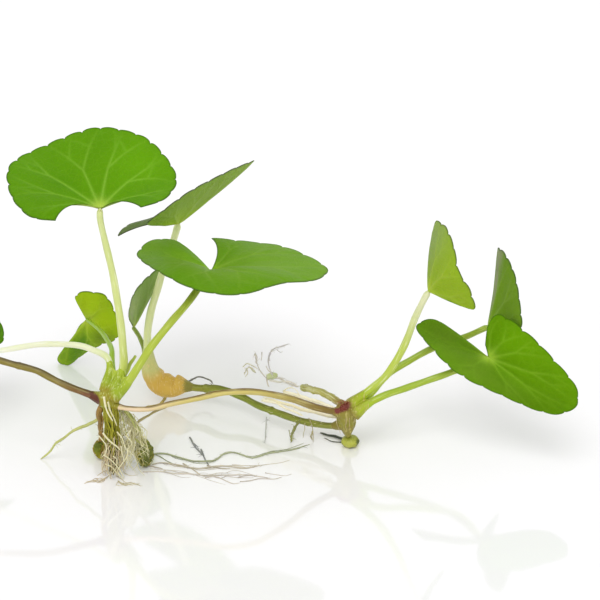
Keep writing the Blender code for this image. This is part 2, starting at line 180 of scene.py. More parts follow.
def newMaterial(name, group, values, attributes, relief, finish):
    # A Principled material whose colour, roughness and height come from a group. relief is in mm.
    material = bpy.data.materials.new(name)
    material.use_nodes = True
    tree = material.node_tree
    inputs = dict(values)
    for label in attributes:
        source = addNode(tree, "ShaderNodeAttribute", attribute_name=label.lower()).outputs
        inputs[label] = source["Vector" if label == "Skin" else "Fac"]
    skin = addNode(tree, "ShaderNodeGroup", inputs, node_tree=group).outputs
    bump = addNode(tree, "ShaderNodeBump", {"Strength": 1.0, "Distance": relief * mm,
                                            "Height": skin["Height"]})
    shader = tree.nodes["Principled BSDF"].inputs
    tree.links.new(skin["Color"], shader["Base Color"])
    tree.links.new(skin["Roughness"], shader["Roughness"])
    tree.links.new(bump.outputs["Normal"], shader["Normal"])
    for label, value in {"Subsurface Scale": mm, **finish}.items():
        shader[label].default_value = value
    return material


# Pattern sizes count per metre in the blades and per millimetre on the stems and roots. Each pattern's
# edges are the two values that it fades between.
tissue = {
    "patches": 140.0,
    "patchEdges": (0.42, 0.66),
    "net": 640.0,            # the fine net of veinlets
    "netWidth": 0.13,
    "netHeight": -0.7,
    "grain": 1500.0,
    "grainShade": 0.12,
    "grainRoughness": 0.14,
    "grainHeight": 0.6,
}
stemSkinLook = {
    "streaks": 2.6,
    "streakLength": 0.1,     # less than 1 draws them out along the stem
    "streakEdges": (0.5, 0.72),
    "footEdges": (0.0, 0.35),
    "tipEdges": (0.5, 1.0),
    "upperWander": 0.8,      # how far the streaks shift the upper side's edge
    "grain": 5.0,
    "grainRoughness": 0.15,
    "grainHeight": 0.3,
    "patchEdges": (0.3, 0.75),
}
rootSkinLook = {
    "dirt": 1.3,
    "dirtLength": 0.25,
    "dirtEdges": (0.47, 0.68),
    "grain": 6.0,
    "grainRoughness": 0.2,
}


def makeLeafTissue():
    # Blade colour with soft patches, a fine net of veinlets, main veins, a pale foot and a dark rim,
    # brightened or darkened by painted light and painted shade.
    group, given = newGroup(
        "leafTissue",
        ("Blade Color", "Deep Color", "Vein Color", "Rim Color", "Foot Color", "Patch Color"),
        ("Patch", "Light", "Vein", "Rim", "Foot", "Net", "Mottle", "Gloss"))
    place = addNode(group, "ShaderNodeTexCoord").outputs["Object"]
    broad = grainOf(group, place, tissue["patches"], 3.0)
    fine = grainOf(group, place, tissue["grain"], 2.0)
    cells = addNode(group, "ShaderNodeTexVoronoi",
                    {"Vector": place, "Scale": tissue["net"], "Randomness": 0.95},
                    feature="DISTANCE_TO_EDGE").outputs["Distance"]
    net = calc(group, "SUBTRACT", 1.0, ramp(group, cells, 0.0, tissue["netWidth"]))
    patches = times(group, ramp(group, broad, *tissue["patchEdges"]), given["Mottle"])
    shade = given["Blade Color"]
    for share, label in ((given["Patch"], "Patch Color"),
                         (patches, "Deep Color"),
                         (times(group, net, given["Net"]), "Vein Color"),
                         (times(group, fine, tissue["grainShade"]), "Deep Color"),
                         (given["Vein"], "Vein Color"),
                         (given["Foot"], "Foot Color")):
        shade = blendColours(group, share, shade, given[label])
    # Light is painted light and painted shade: it scales the colour up or down.
    bright = addNode(group, "ShaderNodeVectorMath", {0: shade, 3: calc(group, "ADD", 1.0, given["Light"])},
                     operation="SCALE").outputs[0]
    shade = blendColours(group, given["Rim"], bright, given["Rim Color"])
    rough = calc(group, "ADD", given["Gloss"], times(group, fine, tissue["grainRoughness"]))
    height = calc(group, "ADD", times(group, net, tissue["netHeight"]),
                  times(group, fine, tissue["grainHeight"]))
    return finishGroup(group, shade, rough, height)


def makeStemSkin():
    # A colour that runs from the foot to the tip, lengthwise streaks, and another shade on the upper side.
    look = stemSkinLook
    group, given = newGroup(
        "stemSkin",
        ("Foot Color", "Middle Color", "Tip Color", "Streak Color", "Upper Color", "Patch Color"),
        ("Patch", "Along", "Streaks", "Upper", "Upper Edge", "Gloss"), ("Skin",))
    streak = grainOf(group, drawnOut(group, given["Skin"], look["streakLength"]), look["streaks"], 3.0)
    grain = grainOf(group, given["Skin"], look["grain"], 2.0)
    normal = addNode(group, "ShaderNodeNewGeometry").outputs["Normal"]
    facing = addNode(group, "ShaderNodeSeparateXYZ", {0: normal}).outputs["Z"]
    wander = times(group, calc(group, "SUBTRACT", streak, 0.5), look["upperWander"])
    onTop = ramp(group, calc(group, "ADD", facing, wander), given["Upper Edge"], 1.0)
    streaks = times(group, ramp(group, streak, *look["streakEdges"]), given["Streaks"])
    patch = calc(group, "ADD", given["Patch"], calc(group, "SUBTRACT", grain, 0.5))
    shade = given["Foot Color"]
    for share, label in ((ramp(group, given["Along"], *look["footEdges"]), "Middle Color"),
                         (ramp(group, given["Along"], *look["tipEdges"]), "Tip Color"),
                         (times(group, onTop, given["Upper"]), "Upper Color"),
                         (streaks, "Streak Color"),
                         (ramp(group, patch, *look["patchEdges"]), "Patch Color")):
        shade = blendColours(group, share, shade, given[label])
    rough = calc(group, "ADD", given["Gloss"], times(group, grain, look["grainRoughness"]))
    height = calc(group, "ADD", streak, times(group, grain, look["grainHeight"]))
    return finishGroup(group, shade, rough, height)


def makeRootSkin():
    # Each strand between two colours by its own tone, with dirt along it.
    look = rootSkinLook
    group, given = newGroup("rootSkin", ("Pale Color", "Dull Color", "Dirt Color"), ("Tone", "Dirt", "Gloss"),
                            ("Skin",))
    patch = grainOf(group, drawnOut(group, given["Skin"], look["dirtLength"]), look["dirt"], 4.0)
    grain = grainOf(group, given["Skin"], look["grain"], 2.0)
    dirty = times(group, ramp(group, patch, *look["dirtEdges"]), given["Dirt"])
    shade = blendColours(group, given["Tone"], given["Pale Color"], given["Dull Color"])
    shade = blendColours(group, dirty, shade, given["Dirt Color"])
    rough = calc(group, "ADD", given["Gloss"], times(group, grain, look["grainRoughness"]))
    return finishGroup(group, shade, rough, calc(group, "ADD", patch, grain))


leafTissue = makeLeafTissue()
stemSkin = makeStemSkin()
rootSkin = makeRootSkin()
print("shader groups ready")


# Mesh helpers

def smoothRoute(points, samples=40):
    # Points close together along a smooth curve through the given ones.
    p = np.array(points, float)
    p = np.vstack([2 * p[0] - p[1], p, 2 * p[-1] - p[-2]])
    t = np.linspace(0.0, 1.0, samples, endpoint=False)[:, None]
    pieces = []
    for a, b, c, d in zip(p[:-3], p[1:-2], p[2:-1], p[3:]):
        pieces.append(0.5 * (2 * b + (c - a) * t + (2 * a - 5 * b + 4 * c - d) * t**2
                             + (3 * b - 3 * c + d - a) * t**3))
    return np.vstack(pieces + [p[-2:-1]])


def lengths(route):
    return np.concatenate([[0.0], np.cumsum(np.linalg.norm(np.diff(route, axis=0), axis=1))])


def evenly(share, listed):
    # Values listed at even places from 0 to 1, at these shares of the way.
    return np.interp(share, np.linspace(0.0, 1.0, len(listed)), listed)


def placesAt(at, along, route):
    return np.stack([np.interp(at, along, route[:, k]) for k in range(3)], -1)


def evenSteps(route, count):
    along = lengths(route)
    return placesAt(np.linspace(0.0, along[-1], count), along, route)


def unit(vectors):
    return vectors / np.maximum(np.linalg.norm(vectors, axis=-1, keepdims=True), 1e-9)


def gridNormals(grid):
    return unit(np.cross(np.gradient(grid, axis=0), np.gradient(grid, axis=1)))


def treeOf(points):
    # For finding the nearest of these points.
    tree = kdtree.KDTree(len(points))
    for i, point in enumerate(points):
        tree.insert(point, i)
    tree.balance()
    return tree


def ringFaces(rings, sides):
    # The faces between rings of points that each close on themselves.
    faces = []
    for i in range(rings - 1):
        for k in range(sides):
            m = (k + 1) % sides
            faces.append((i * sides + k, i * sides + m, (i + 1) * sides + m, (i + 1) * sides + k))
    return faces


def pieceName(node):
    words = node.split("_")
    return words[0] + "".join(word.capitalize() for word in words[1:])


tubeCap = 0.4         # how far the ends bulge, as a share of the radius
patternShift = 37.0   # mm along the skin that a strand's tone shifts its pattern by
fuseNearest = 12      # points that a fused body takes its values from
fuseBlend = 0.05      # mm, the least distance that counts among them


class Maker:
    # Gathers vertices, faces and the values that the materials read, and joins them in one mesh.
    def __init__(self):
        self.clear()

    def clear(self):
        self.points, self.faces, self.slots = [], [], []
        self.values = {}
        self.count = 0

    def add(self, points, faces, slot=0, **values):
        points = np.asarray(points, float).reshape(-1, 3)
        for name in sorted(set(self.values) | set(values)):
            width = 3 if name == "skin" else 1
            kept = self.values.setdefault(name, [])
            if not kept and self.count:
                kept.append(np.zeros((self.count, width)))
            given = np.reshape(values.get(name, np.zeros(width)), (-1, width))
            kept.append(np.broadcast_to(given, (len(points), width)))
        self.points.append(points)
        self.faces.extend([tuple(int(v) + self.count for v in face) for face in faces])
        self.slots.extend([slot] * len(faces))
        self.count += len(points)

    def tube(self, route, radii, sides=10, ribs=0, ribDepth=0.0, slot=0, tone=0.0, twist=0.0,
             patch=(0.0, 0.0), alongTo=1.0):
        # A closed round stem along a route. Its radii, and how far it is patched, are given at even places.
        route = np.asarray(route, float)
        heading = unit(np.gradient(route, axis=0))
        side = np.cross(heading[0], (0.0, 0.0, 1.0))
        if np.linalg.norm(side) < 0.2:
            side = np.cross(heading[0], (0.0, 1.0, 0.0))
        side = unit(side)
        frames = []
        for ahead in heading:
            side = unit(side - ahead * np.dot(side, ahead))
            frames.append((side, np.cross(ahead, side)))
        rightward, upward = np.array(frames).transpose(1, 0, 2)[:, :, None, :]
        along = lengths(route)
        share = along / along[-1]
        radii = evenly(share, radii)
        turn = np.linspace(0.0, 2 * math.pi, sides, endpoint=False)
        reach = radii[:, None] * (1.0 + ribDepth * np.cos(ribs * turn[None, :] + twist * share[:, None]))
        x, y = reach * np.cos(turn), reach * np.sin(turn)
        rings = route[:, None, :] + rightward * x[..., None] + upward * y[..., None]
        skin = np.stack([x, y, np.repeat(along[:, None], sides, 1)], -1) + (0.0, 0.0, patternShift * tone)
        points = np.vstack([rings.reshape(-1, 3), route[:1] - heading[:1] * radii[0] * tubeCap,
                            route[-1:] + heading[-1:] * radii[-1] * tubeCap])
        faces = ringFaces(len(route), sides)
        first, last = len(route) * sides, len(route) * sides + 1
        for k in range(sides):
            m = (k + 1) % sides
            faces.append((first, m, k))
            faces.append((last, first - sides + k, first - sides + m))
        self.add(points, faces, slot, tone=tone,
                 patch=np.append(np.repeat(evenly(share, patch), sides), [0.0, 0.0]),
                 along=np.append(np.repeat(share, sides), [0.0, 1.0]) * alongTo,
                 skin=np.vstack([skin.reshape(-1, 3), [[0, 0, 0], [0, 0, along[-1]]]]))

    def shell(self, middle, thickness, slot=0, **values):
        # A closed thin sheet round a grid of points.
        rows, columns = middle.shape[:2]
        offset = gridNormals(middle) * (thickness / 2)
        up = np.arange(rows * columns).reshape(rows, columns)
        down = up + rows * columns
        faces, undersides = [], []
        for i, j in np.ndindex(rows - 1, columns - 1):
            faces.append((up[i, j], up[i + 1, j], up[i + 1, j + 1], up[i, j + 1]))
            undersides.append((down[i, j], down[i, j + 1], down[i + 1, j + 1], down[i + 1, j]))
        ring = [(i, 0) for i in range(rows - 1)] + [(rows - 1, j) for j in range(columns - 1)]
        ring += [(i, columns - 1) for i in range(rows - 1, 0, -1)]
        ring += [(0, j) for j in range(columns - 1, 0, -1)]
        edges = [(up[a], down[a], down[b], up[b]) for a, b in zip(ring, ring[1:] + ring[:1])]
        doubled = {name: np.tile(value.reshape(rows * columns, -1), (2, 1)) for name, value in values.items()}
        self.add(np.vstack([(middle + offset).reshape(-1, 3), (middle - offset).reshape(-1, 3)]),
                 faces + edges + undersides, slot, **doubled)

    def fuse(self, voxel, rounds):
        # What was added so far grows together into one smooth body, with the nearest points' values.
        points = np.vstack(self.points)
        mesh = bpy.data.meshes.new("parts")
        mesh.from_pydata(points, [], self.faces)
        parts = bpy.data.objects.new("parts", mesh)
        bpy.context.scene.collection.objects.link(parts)
        remesh = parts.modifiers.new("fuse", "REMESH")
        remesh.mode = "VOXEL"
        remesh.voxel_size = voxel
        soften = parts.modifiers.new("soften", "SMOOTH")
        soften.factor = 0.5
        soften.iterations = rounds
        body = parts.evaluated_get(bpy.context.evaluated_depsgraph_get()).to_mesh()
        tree = treeOf(points)
        old = {name: np.vstack(kept) for name, kept in self.values.items()}
        spots = np.array([vertex.co[:] for vertex in body.vertices])
        faces = [tuple(face.vertices) for face in body.polygons]
        values = {name: np.zeros((len(spots), kept.shape[1])) for name, kept in old.items()}
        for k, spot in enumerate(spots):
            near = tree.find_n(spot, fuseNearest)
            weights = np.array([1.0 / (distance + fuseBlend) ** 2 for _, _, distance in near])
            weights /= weights.sum()
            for name, kept in old.items():
                values[name][k] = weights @ kept[[i for _, i, _ in near]]
        values["skin"] = spots
        bpy.data.objects.remove(parts)
        bpy.data.meshes.remove(mesh)
        self.clear()
        self.add(spots, faces, **values)

    def build(self, node, materials):
        # The finished piece: it rides on the plant's one body and stands for its solid.
        name = pieceName(node)
        mesh = bpy.data.meshes.new(name)
        points = np.clip((np.vstack(self.points) + plantShift) * mm, *insideBox)
        mesh.from_pydata(points, [], self.faces)
        for label, parts in self.values.items():
            data = np.vstack(parts)
            if data.shape[1] == 3:
                mesh.attributes.new(label, "FLOAT_VECTOR", "POINT").data.foreach_set("vector", data.ravel())
            else:
                mesh.attributes.new(label, "FLOAT", "POINT").data.foreach_set("value", data.ravel())
        for material in materials:
            mesh.materials.append(material)
        mesh.polygons.foreach_set("material_index", self.slots)
        mesh.polygons.foreach_set("use_smooth", [True] * len(self.slots))
        mesh.validate()
        mesh.update()
        piece = bpy.data.objects.new(name, mesh)
        bpy.context.scene.collection.objects.link(piece)
        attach(piece, "root")
        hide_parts(node)
        return piece


# Leaves

leafShape = {
    "rays": 16,              # mesh columns in each scallop
    "rings": 46,
    "ringShares": (0.012, 1.15),    # where the first ring lies, and how much closer they get at the rim
    "scallop": 0.7,          # mm deep
    "scallopPower": 0.45,    # less than 1 makes the notches narrow
    "scallopFade": 6,        # the higher, the closer to the rim the notches stay
    "uneven": (0.55, 1.0),   # how deep each scallop is, as a share of the full depth
    "hollowFade": 0.25,      # how far round from the notch the hollow reaches
    "thickness": 0.34,
    "rimThickness": 0.16,
    "rimReach": 2.5,         # mm over which the blade thins towards its rim
    "rimTone": (0.72, 0.27),     # how dark the rim is, and how many mm wide
    "footReach": 1.9,        # mm, of the paler colour at the foot
    "quilt": 0.22,           # how far the blade swells between its veins, mm
    "quiltReach": 1.1,       # mm from a vein to where it swells
    "quiltEnds": (0.12, 1.25),      # the swelling fades inside the first share and outside the second
    "groove": 0.10,          # veins sink into the upper side
    "ridge": 0.20,           # and stand out below
    "veinWidth": (0.42, 0.27),
    "veinSpan": (0.02, 0.95),    # where they begin and end, from the foot to the rim
    "veinSteps": (60, 30),
    "veinSway": (0.008, 6.0, 40.0),
    "sideVeinStart": (22, 36),   # the step of a fork at which its side vein leaves it
    "sideVeinEnd": 0.96,
}

# Veins: the place along the rim that each makes for, where it forks, how far round its two branches
# part from it, and how strongly it shows.
evenVeins = [(0.05, 0.6, -0.02, 0.03, 0.7), (0.17, 0.5, -0.05, 0.04, 0.9), (0.31, 0.55, -0.04, 0.045, 1.0),
             (0.45, 0.5, -0.05, 0.05, 1.0), (0.58, 0.5, -0.045, 0.05, 1.0), (0.71, 0.48, -0.04, 0.05, 1.0),
             (0.84, 0.52, -0.04, 0.04, 0.9), (0.95, 0.6, -0.03, 0.02, 0.7)]
fewVeins = [(0.08, 0.5, -0.04, 0.05, 0.8), (0.24, 0.5, -0.05, 0.05, 1.0), (0.42, 0.5, -0.05, 0.05, 1.0),
            (0.6, 0.5, -0.05, 0.05, 1.0), (0.78, 0.55, -0.05, 0.05, 0.9), (0.93, 0.6, -0.03, 0.03, 0.7)]

# The colours of the blade, its patches, veins, rim and foot, as most blades have them on either side.
plainUpper = ("588e03", "4e8203", "7aaa30", "33500e", "b0c850")
plainUnder = ("7d963a", "6c882e", "9cb458", "42521f", "b0c060")

# base is the stalk's top. rim is the rim as seen from there, from one side of the notch round to the other.
# bow, teeth and hollow shape the blade as its solid has them. patch and light are spots: the place round and
# out, how far they reach each way, and how strong they are. The light spots are painted light and painted
# shade: they scale the blade's colour up where light falls and down where shade falls.
leaves = {
    "leaf_front_tall": {
        "base": (-43.0, -1.0, 63.0),
        "rim": [(-9.2, -7.2, 0.2), (-14.5, -7.5, 1.5), (-19.0, -1.5, 4.0),
                (-20.0, 7.0, 7.0), (-14.0, 14.0, 8.5), (-2.5, 18.0, 11.5), (7.0, 16.0, 11.0),
                (12.5, 11.5, 9.0), (16.5, 4.0, 5.5), (14.5, -2.5, 3.5), (9.5, -5.2, 2.5)],
        "bow": 0.6, "teeth": 20, "hollow": (2.4, 1.3), "slot": "leaf",
        "veins": [(0.06, 0.6, -0.02, 0.03, 0.5), (0.19, 0.5, -0.03, 0.05, 0.9),
                  (0.31, 0.62, -0.03, 0.03, 1.0), (0.455, 0.5, -0.055, 0.085, 1.0),
                  (0.59, 0.48, 0.02, 0.09, 1.0),
                  (0.745, 0.45, 0.02, 0.11, 1.0), (0.905, 0.6, -0.02, 0.03, 0.8)],
        "upper": ("588e03", "4e8203", "7aaa30", "31480e", "b0c850"),
        "under": plainUnder,
        "patch": ("4c8404", [(0.3, 0.45, 0.08, 0.3, 0.5), (0.97, 0.6, 0.06, 0.4, 0.5)]),
        "light": [(0.72, 0.7, 0.12, 0.4, 0.16), (0.12, 0.8, 0.1, 0.3, -0.06)],
    },
    "leaf_front_broad": {
        "base": (-20.0, 11.0, 42.5),
        "rim": [(-0.2, 11.5, 3.0), (8.5, 12.5, 1.5), (17.5, 9.0, 1.5),
                (26.0, 0.5, 0.5), (23.5, -7.0, 1.0), (16.0, -12.0, 2.5), (7.0, -16.5, 2.0),
                (-2.0, -15.5, 2.5), (-10.0, -8.5, 3.0), (-17.0, 7.0, 0.5), (-14.0, 12.0, 2.0),
                (-8.5, 13.0, 1.5), (-4.0, 6.5, 1.0)],
        "bow": 2.0, "teeth": 20, "hollow": (1.5, 0.0), "slot": "leaf",
        "veins": evenVeins,
        # Its greyer blade colour is painted sheen on the flatter part. The patch, mostly along the near rim
        # where the blade curves down, is the green without that sheen. Its light spots are painted light.
        "upper": ("6b9522", "5e8a1c", "88aa40", "3c4f20", "88b424"),
        "under": plainUnder,
        "patch": ("5b8c06", [(0.5, 0.95, 0.14, 0.3, 1.0), (0.04, 0.45, 0.05, 0.4, 0.8),
                             (0.62, 0.95, 0.1, 0.3, 0.7)]),
        "veinShow": 0.5,
        "light": [(0.86, 0.6, 0.12, 0.7, 0.42), (0.3, 0.8, 0.14, 0.4, 0.08)],
    },
    "leaf_front_low": {
        "base": (-51.5, 40.0, 15.9),
        "rim": [(-2.0, 2.0, -2.5), (-4.5, 5.0, -8.0), (-8.5, 7.5, -14.5), (-6.0, 6.5, -16.0),
                (-1.0, 6.0, -12.0), (3.0, 4.0, -9.0), (7.0, 2.5, -6.5), (7.5, 2.0, -2.5),
                (6.5, 1.5, 2.5), (4.5, -0.5, 7.0), (-0.5, -1.0, 8.0), (-2.5, -1.0, 6.5),
                (-1.0, -0.5, 3.5)],
        "bow": -0.5, "teeth": 14, "hollow": (0.0, 0.0), "slot": "leaf_under",
        "veins": fewVeins,
        "upper": ("569018", "448012", "74a834", "30481c", "a0bc40"),
        "under": ("b0cd20", "a2c016", "bcd640", "4a5c1c", "b8cc48"),
        # The patch is painted shade: the lower lobe, tilted down away from the light, is a darker green. Its
        # light spots are painted shade too.
        "patch": ("5c8e1c", [(0.1, 0.6, 0.2, 0.6, 1.0), (0.36, 0.7, 0.1, 0.5, 1.0),
                             (0.52, 0.7, 0.07, 0.4, 0.6)]),
        "veinShow": 0.6,
        "light": [(0.53, 0.75, 0.07, 0.35, -0.35), (0.97, 0.5, 0.06, 0.6, -0.2),
                  (0.15, 0.6, 0.18, 0.6, -0.22)],
    },
    "leaf_front_side": {
        "base": (-71.5, 13.0, 21.5),
        "rim": [(-1.5, -5.5, 0.5), (-4.5, -9.5, 1.5), (-9.0, -9.0, 3.0), (-13.0, -4.5, 4.5),
                (-14.0, 3.5, 5.5), (-11.5, 11.0, 6.0), (-6.0, 14.0, 6.0), (-0.5, 12.5, 4.5),
                (2.0, 9.0, 2.5), (3.0, 5.5, 0.0), (1.0, 3.0, -1.0)],
        "bow": 0.6, "teeth": 14, "hollow": (0.6, 0.6), "slot": "leaf",
        "veins": fewVeins,
        "upper": plainUpper,
        "under": plainUnder,
        "patch": ("3f7008", [(0.9, 0.9, 0.1, 0.4, 0.6)]),
    },
    "leaf_back_edge": {
        "base": (-28.0, 27.0, 47.0),
        "rim": [(-15.0, 7.0, -6.5), (-12.5, 11.5, -5.5),
                (-5.0, 15.5, -4.5), (4.5, 16.5, 1.5), (12.0, 12.5, 7.5), (17.5, 7.5, 12.5),
                (13.5, 1.0, 13.5), (9.0, -3.5, 13.0), (3.0, -8.5, 11.5), (-2.8, -10.0, 7.6),
                (-6.6, -8.3, 3.6), (-3.0, -3.5, 0.9)],
        "bow": -0.5, "teeth": 20, "hollow": (1.3, 0.0), "slot": "leaf_under",
        "veins": evenVeins,
        "upper": ("567020", "48621c", "708a3c", "332f22", "88a838"),
        "under": ("92b043", "84a23e", "a6c054", "5a5460", "a8c034"),
        "patch": ("adcf22", [(0.9, 0.35, 0.16, 0.3, 0.8), (0.5, 0.15, 0.4, 0.15, 0.6)]),
        "veinShow": 0.75,
        "light": [(0.1, 0.7, 0.08, 0.5, -0.25)],
    },
    "leaf_back_dark": {
        "base": (-39.5, 29.5, 19.0),
        "rim": [(-0.5, 3.0, -0.5), (-1.0, 9.5, 1.0), (0.5, 13.0, 3.5), (3.5, 11.5, 8.0),
                (7.5, 6.5, 13.5), (4.5, 1.0, 13.5), (2.0, -3.5, 12.5), (0.5, -5.5, 10.5),
                (-0.5, -5.0, 5.5), (0.0, -2.5, 2.0)],
        "bow": -0.6, "teeth": 14, "hollow": (0.0, 0.0), "slot": "leaf_dark",
        "veins": fewVeins,
        "upper": ("8aa852", "789644", "a6bc70", "45542a", "b4c65c"),
        "under": ("8aa852", "789644", "a6bc70", "45542a", "b4c65c"),
        "patch": ("b0bc8c", [(0.85, 0.8, 0.1, 0.5, 0.7)]),
        "light": [(0.25, 0.6, 0.2, 0.5, -0.18)],
    },
    "leaf_right_upright": {
        "base": (28.5, 3.5, 41.0),
        "rim": [(3.0, -3.0, 0.0), (6.0, -6.0, 0.0), (9.5, -9.0, 0.0), (8.5, -9.0, 4.5),
                (6.0, -7.5, 8.5), (5.0, -3.5, 12.5), (3.5, 1.5, 15.0), (1.5, 7.0, 14.0),
                (2.5, 11.0, 8.5), (4.5, 12.5, 3.0), (6.0, 11.5, -1.5), (6.0, 7.0, -3.5),
                (3.0, 2.5, -2.0)],
        "bow": -0.6, "teeth": 16, "hollow": (0.0, 0.0), "slot": "leaf_under",
        "veins": evenVeins,
        "upper": ("588e03", "4e8203", "7aaa30", "3c4c18", "b0c850"),
        "under": ("90ae24", "849f20", "a4ba48", "55602c", "b0c440"),
        # The greyish patch is painted sheen.
        "patch": ("8aa05c", [(0.5, 0.8, 0.1, 0.6, 0.7), (0.58, 0.6, 0.06, 0.6, 0.6)]),
        "veinShow": 0.6,
    },
    "leaf_right_narrow": {
        "base": (42.8, 12.0, 28.0),
        "rim": [(2.0, -2.5, 1.5), (6.5, -8.0, 3.5), (6.2, -6.5, 9.5), (5.2, -2.5, 14.4),
                (3.5, 3.0, 16.8), (2.2, 7.5, 16.3), (3.2, 11.0, 10.5), (5.0, 12.5, 4.5),
                (5.5, 10.5, 0.0), (4.0, 6.0, -1.5), (2.0, 2.5, -1.0)],
        "bow": 0.3, "teeth": 16, "hollow": (0.0, 0.0), "slot": "leaf_dark",
        "veins": evenVeins,
        "upper": plainUpper,
        "under": ("70951f", "64871a", "8aa848", "3a4830", "9cb848"),
        # The pale grey strip of the patch is painted sheen.
        "patch": ("a89c94", [(0.5, 0.7, 0.035, 0.6, 0.7)]),
        "veinShow": 0.6,
        "light": [(0.8, 0.7, 0.1, 0.4, -0.12)],
    },
    "leaf_right_folded": {
        "base": (42.5, 4.5, 24.0),
        "rim": [(-1.0, 0.0, 3.5), (0.0, 1.5, 8.5), (3.0, 1.5, 10.0), (9.0, -3.0, 7.0),
                (14.5, -7.0, 2.5), (18.5, -10.5, -1.5), (19.0, -12.0, -5.5), (15.5, -11.0, -8.5),
                (10.5, -9.5, -8.5), (3.0, -7.5, -6.0), (-7.0, -4.5, -2.0), (-13.0, 3.0, 1.0),
                (-16.0, 9.5, 3.0), (-12.5, 8.5, 5.5), (-8.0, 6.0, 4.0), (-4.0, 2.0, 1.5)],
        "bow": 1.0, "teeth": 20, "hollow": (0.0, 0.0), "slot": "leaf",
        "veins": [(0.06, 0.6, -0.02, 0.03, 0.7), (0.13, 0.5, -0.03, 0.03, 0.8),
                  (0.215, 0.5, -0.03, 0.03, 0.9), (0.33, 0.5, -0.03, 0.035, 1.0),
                  (0.405, 0.5, -0.025, 0.03, 1.0), (0.51, 0.55, -0.03, 0.03, 0.8),
                  (0.66, 0.5, -0.04, 0.04, 0.4), (0.8, 0.5, -0.04, 0.04, 0.35),
                  (0.93, 0.6, -0.03, 0.02, 0.3)],
        "upper": ("5e8e02", "548202", "80ac28", "33500e", "a4c440"),
        "under": plainUnder,
        # The patch is painted sheen: the left lobe, seen at a grazing angle, is duller. Its light spots are a
        # painted highlight and painted shade.
        "patch": ("64861e", [(0.66, 0.5, 0.16, 0.6, 1.0), (0.88, 0.6, 0.1, 0.6, 0.7)]),
        "veinShow": 0.7,
        "light": [(0.16, 0.7, 0.07, 0.5, 0.14), (0.48, 0.85, 0.1, 0.4, -0.22)],
    },
}


def leafMaterial(name, colours, patch, gloss, relief):
    labels = ("Blade Color", "Deep Color", "Vein Color", "Rim Color", "Foot Color", "Patch Color")
    values = {label: colour(code) for label, code in zip(labels, (*colours, patch))}
    values.update({"Net": 0.08, "Mottle": 0.3, "Gloss": gloss})
    return newMaterial(name, leafTissue, values, ("Vein", "Rim", "Foot", "Patch", "Light"), relief, {
        "Subsurface Weight": 0.2, "Subsurface Radius": (0.35, 0.6, 0.08), "IOR": 1.42,
        "Specular IOR Level": 0.16, "Specular Tint": (0.85, 1.0, 0.3, 1.0)})


def veinLines(leaf):
    # Main veins run straight from the foot and fork on their way to the rim. Each line is listed by its
    # places round and out, its half width in mm and its strength.
    lines = []
    wide, narrow = leafShape["veinWidth"]
    begin, end = leafShape["veinSpan"]
    sideEnd = leafShape["sideVeinEnd"]
    steps, sideSteps = leafShape["veinSteps"]
    amount, waves, shift = leafShape["veinSway"]

    def inside(around):
        return np.clip(around, 0.004, 0.996)

    for place, fork, left, right, strong in leaf["veins"]:
        s = np.linspace(begin, fork, steps)
        sway = amount * np.sin(waves * s + shift * place)
        strong *= leaf.get("veinShow", 1.0)
        lines.append((inside(place + sway * s), s, np.interp(s, (0.0, fork), (wide, narrow)),
                      strong * (1.0 - 0.3 * s / fork)))
        for turn in (left, right):
            s = np.linspace(fork, end, steps)
            on = (s - fork) / (end - fork)
            u = inside(place + sway[-1] * fork + turn * on ** 0.75)
            lines.append((u, s, np.full(steps, narrow), strong * 0.7 * (1.0 - 0.8 * on)))
            start = int(chance.integers(*leafShape["sideVeinStart"]))
            tail = np.linspace(0.0, 1.0, sideSteps)
            lines.append((inside(u[start] - turn * 0.7 * tail ** 0.8), s[start] + (sideEnd - s[start]) * tail,
                          np.full(sideSteps, narrow), strong * 0.4 * (1.0 - 0.8 * tail)))
    return lines


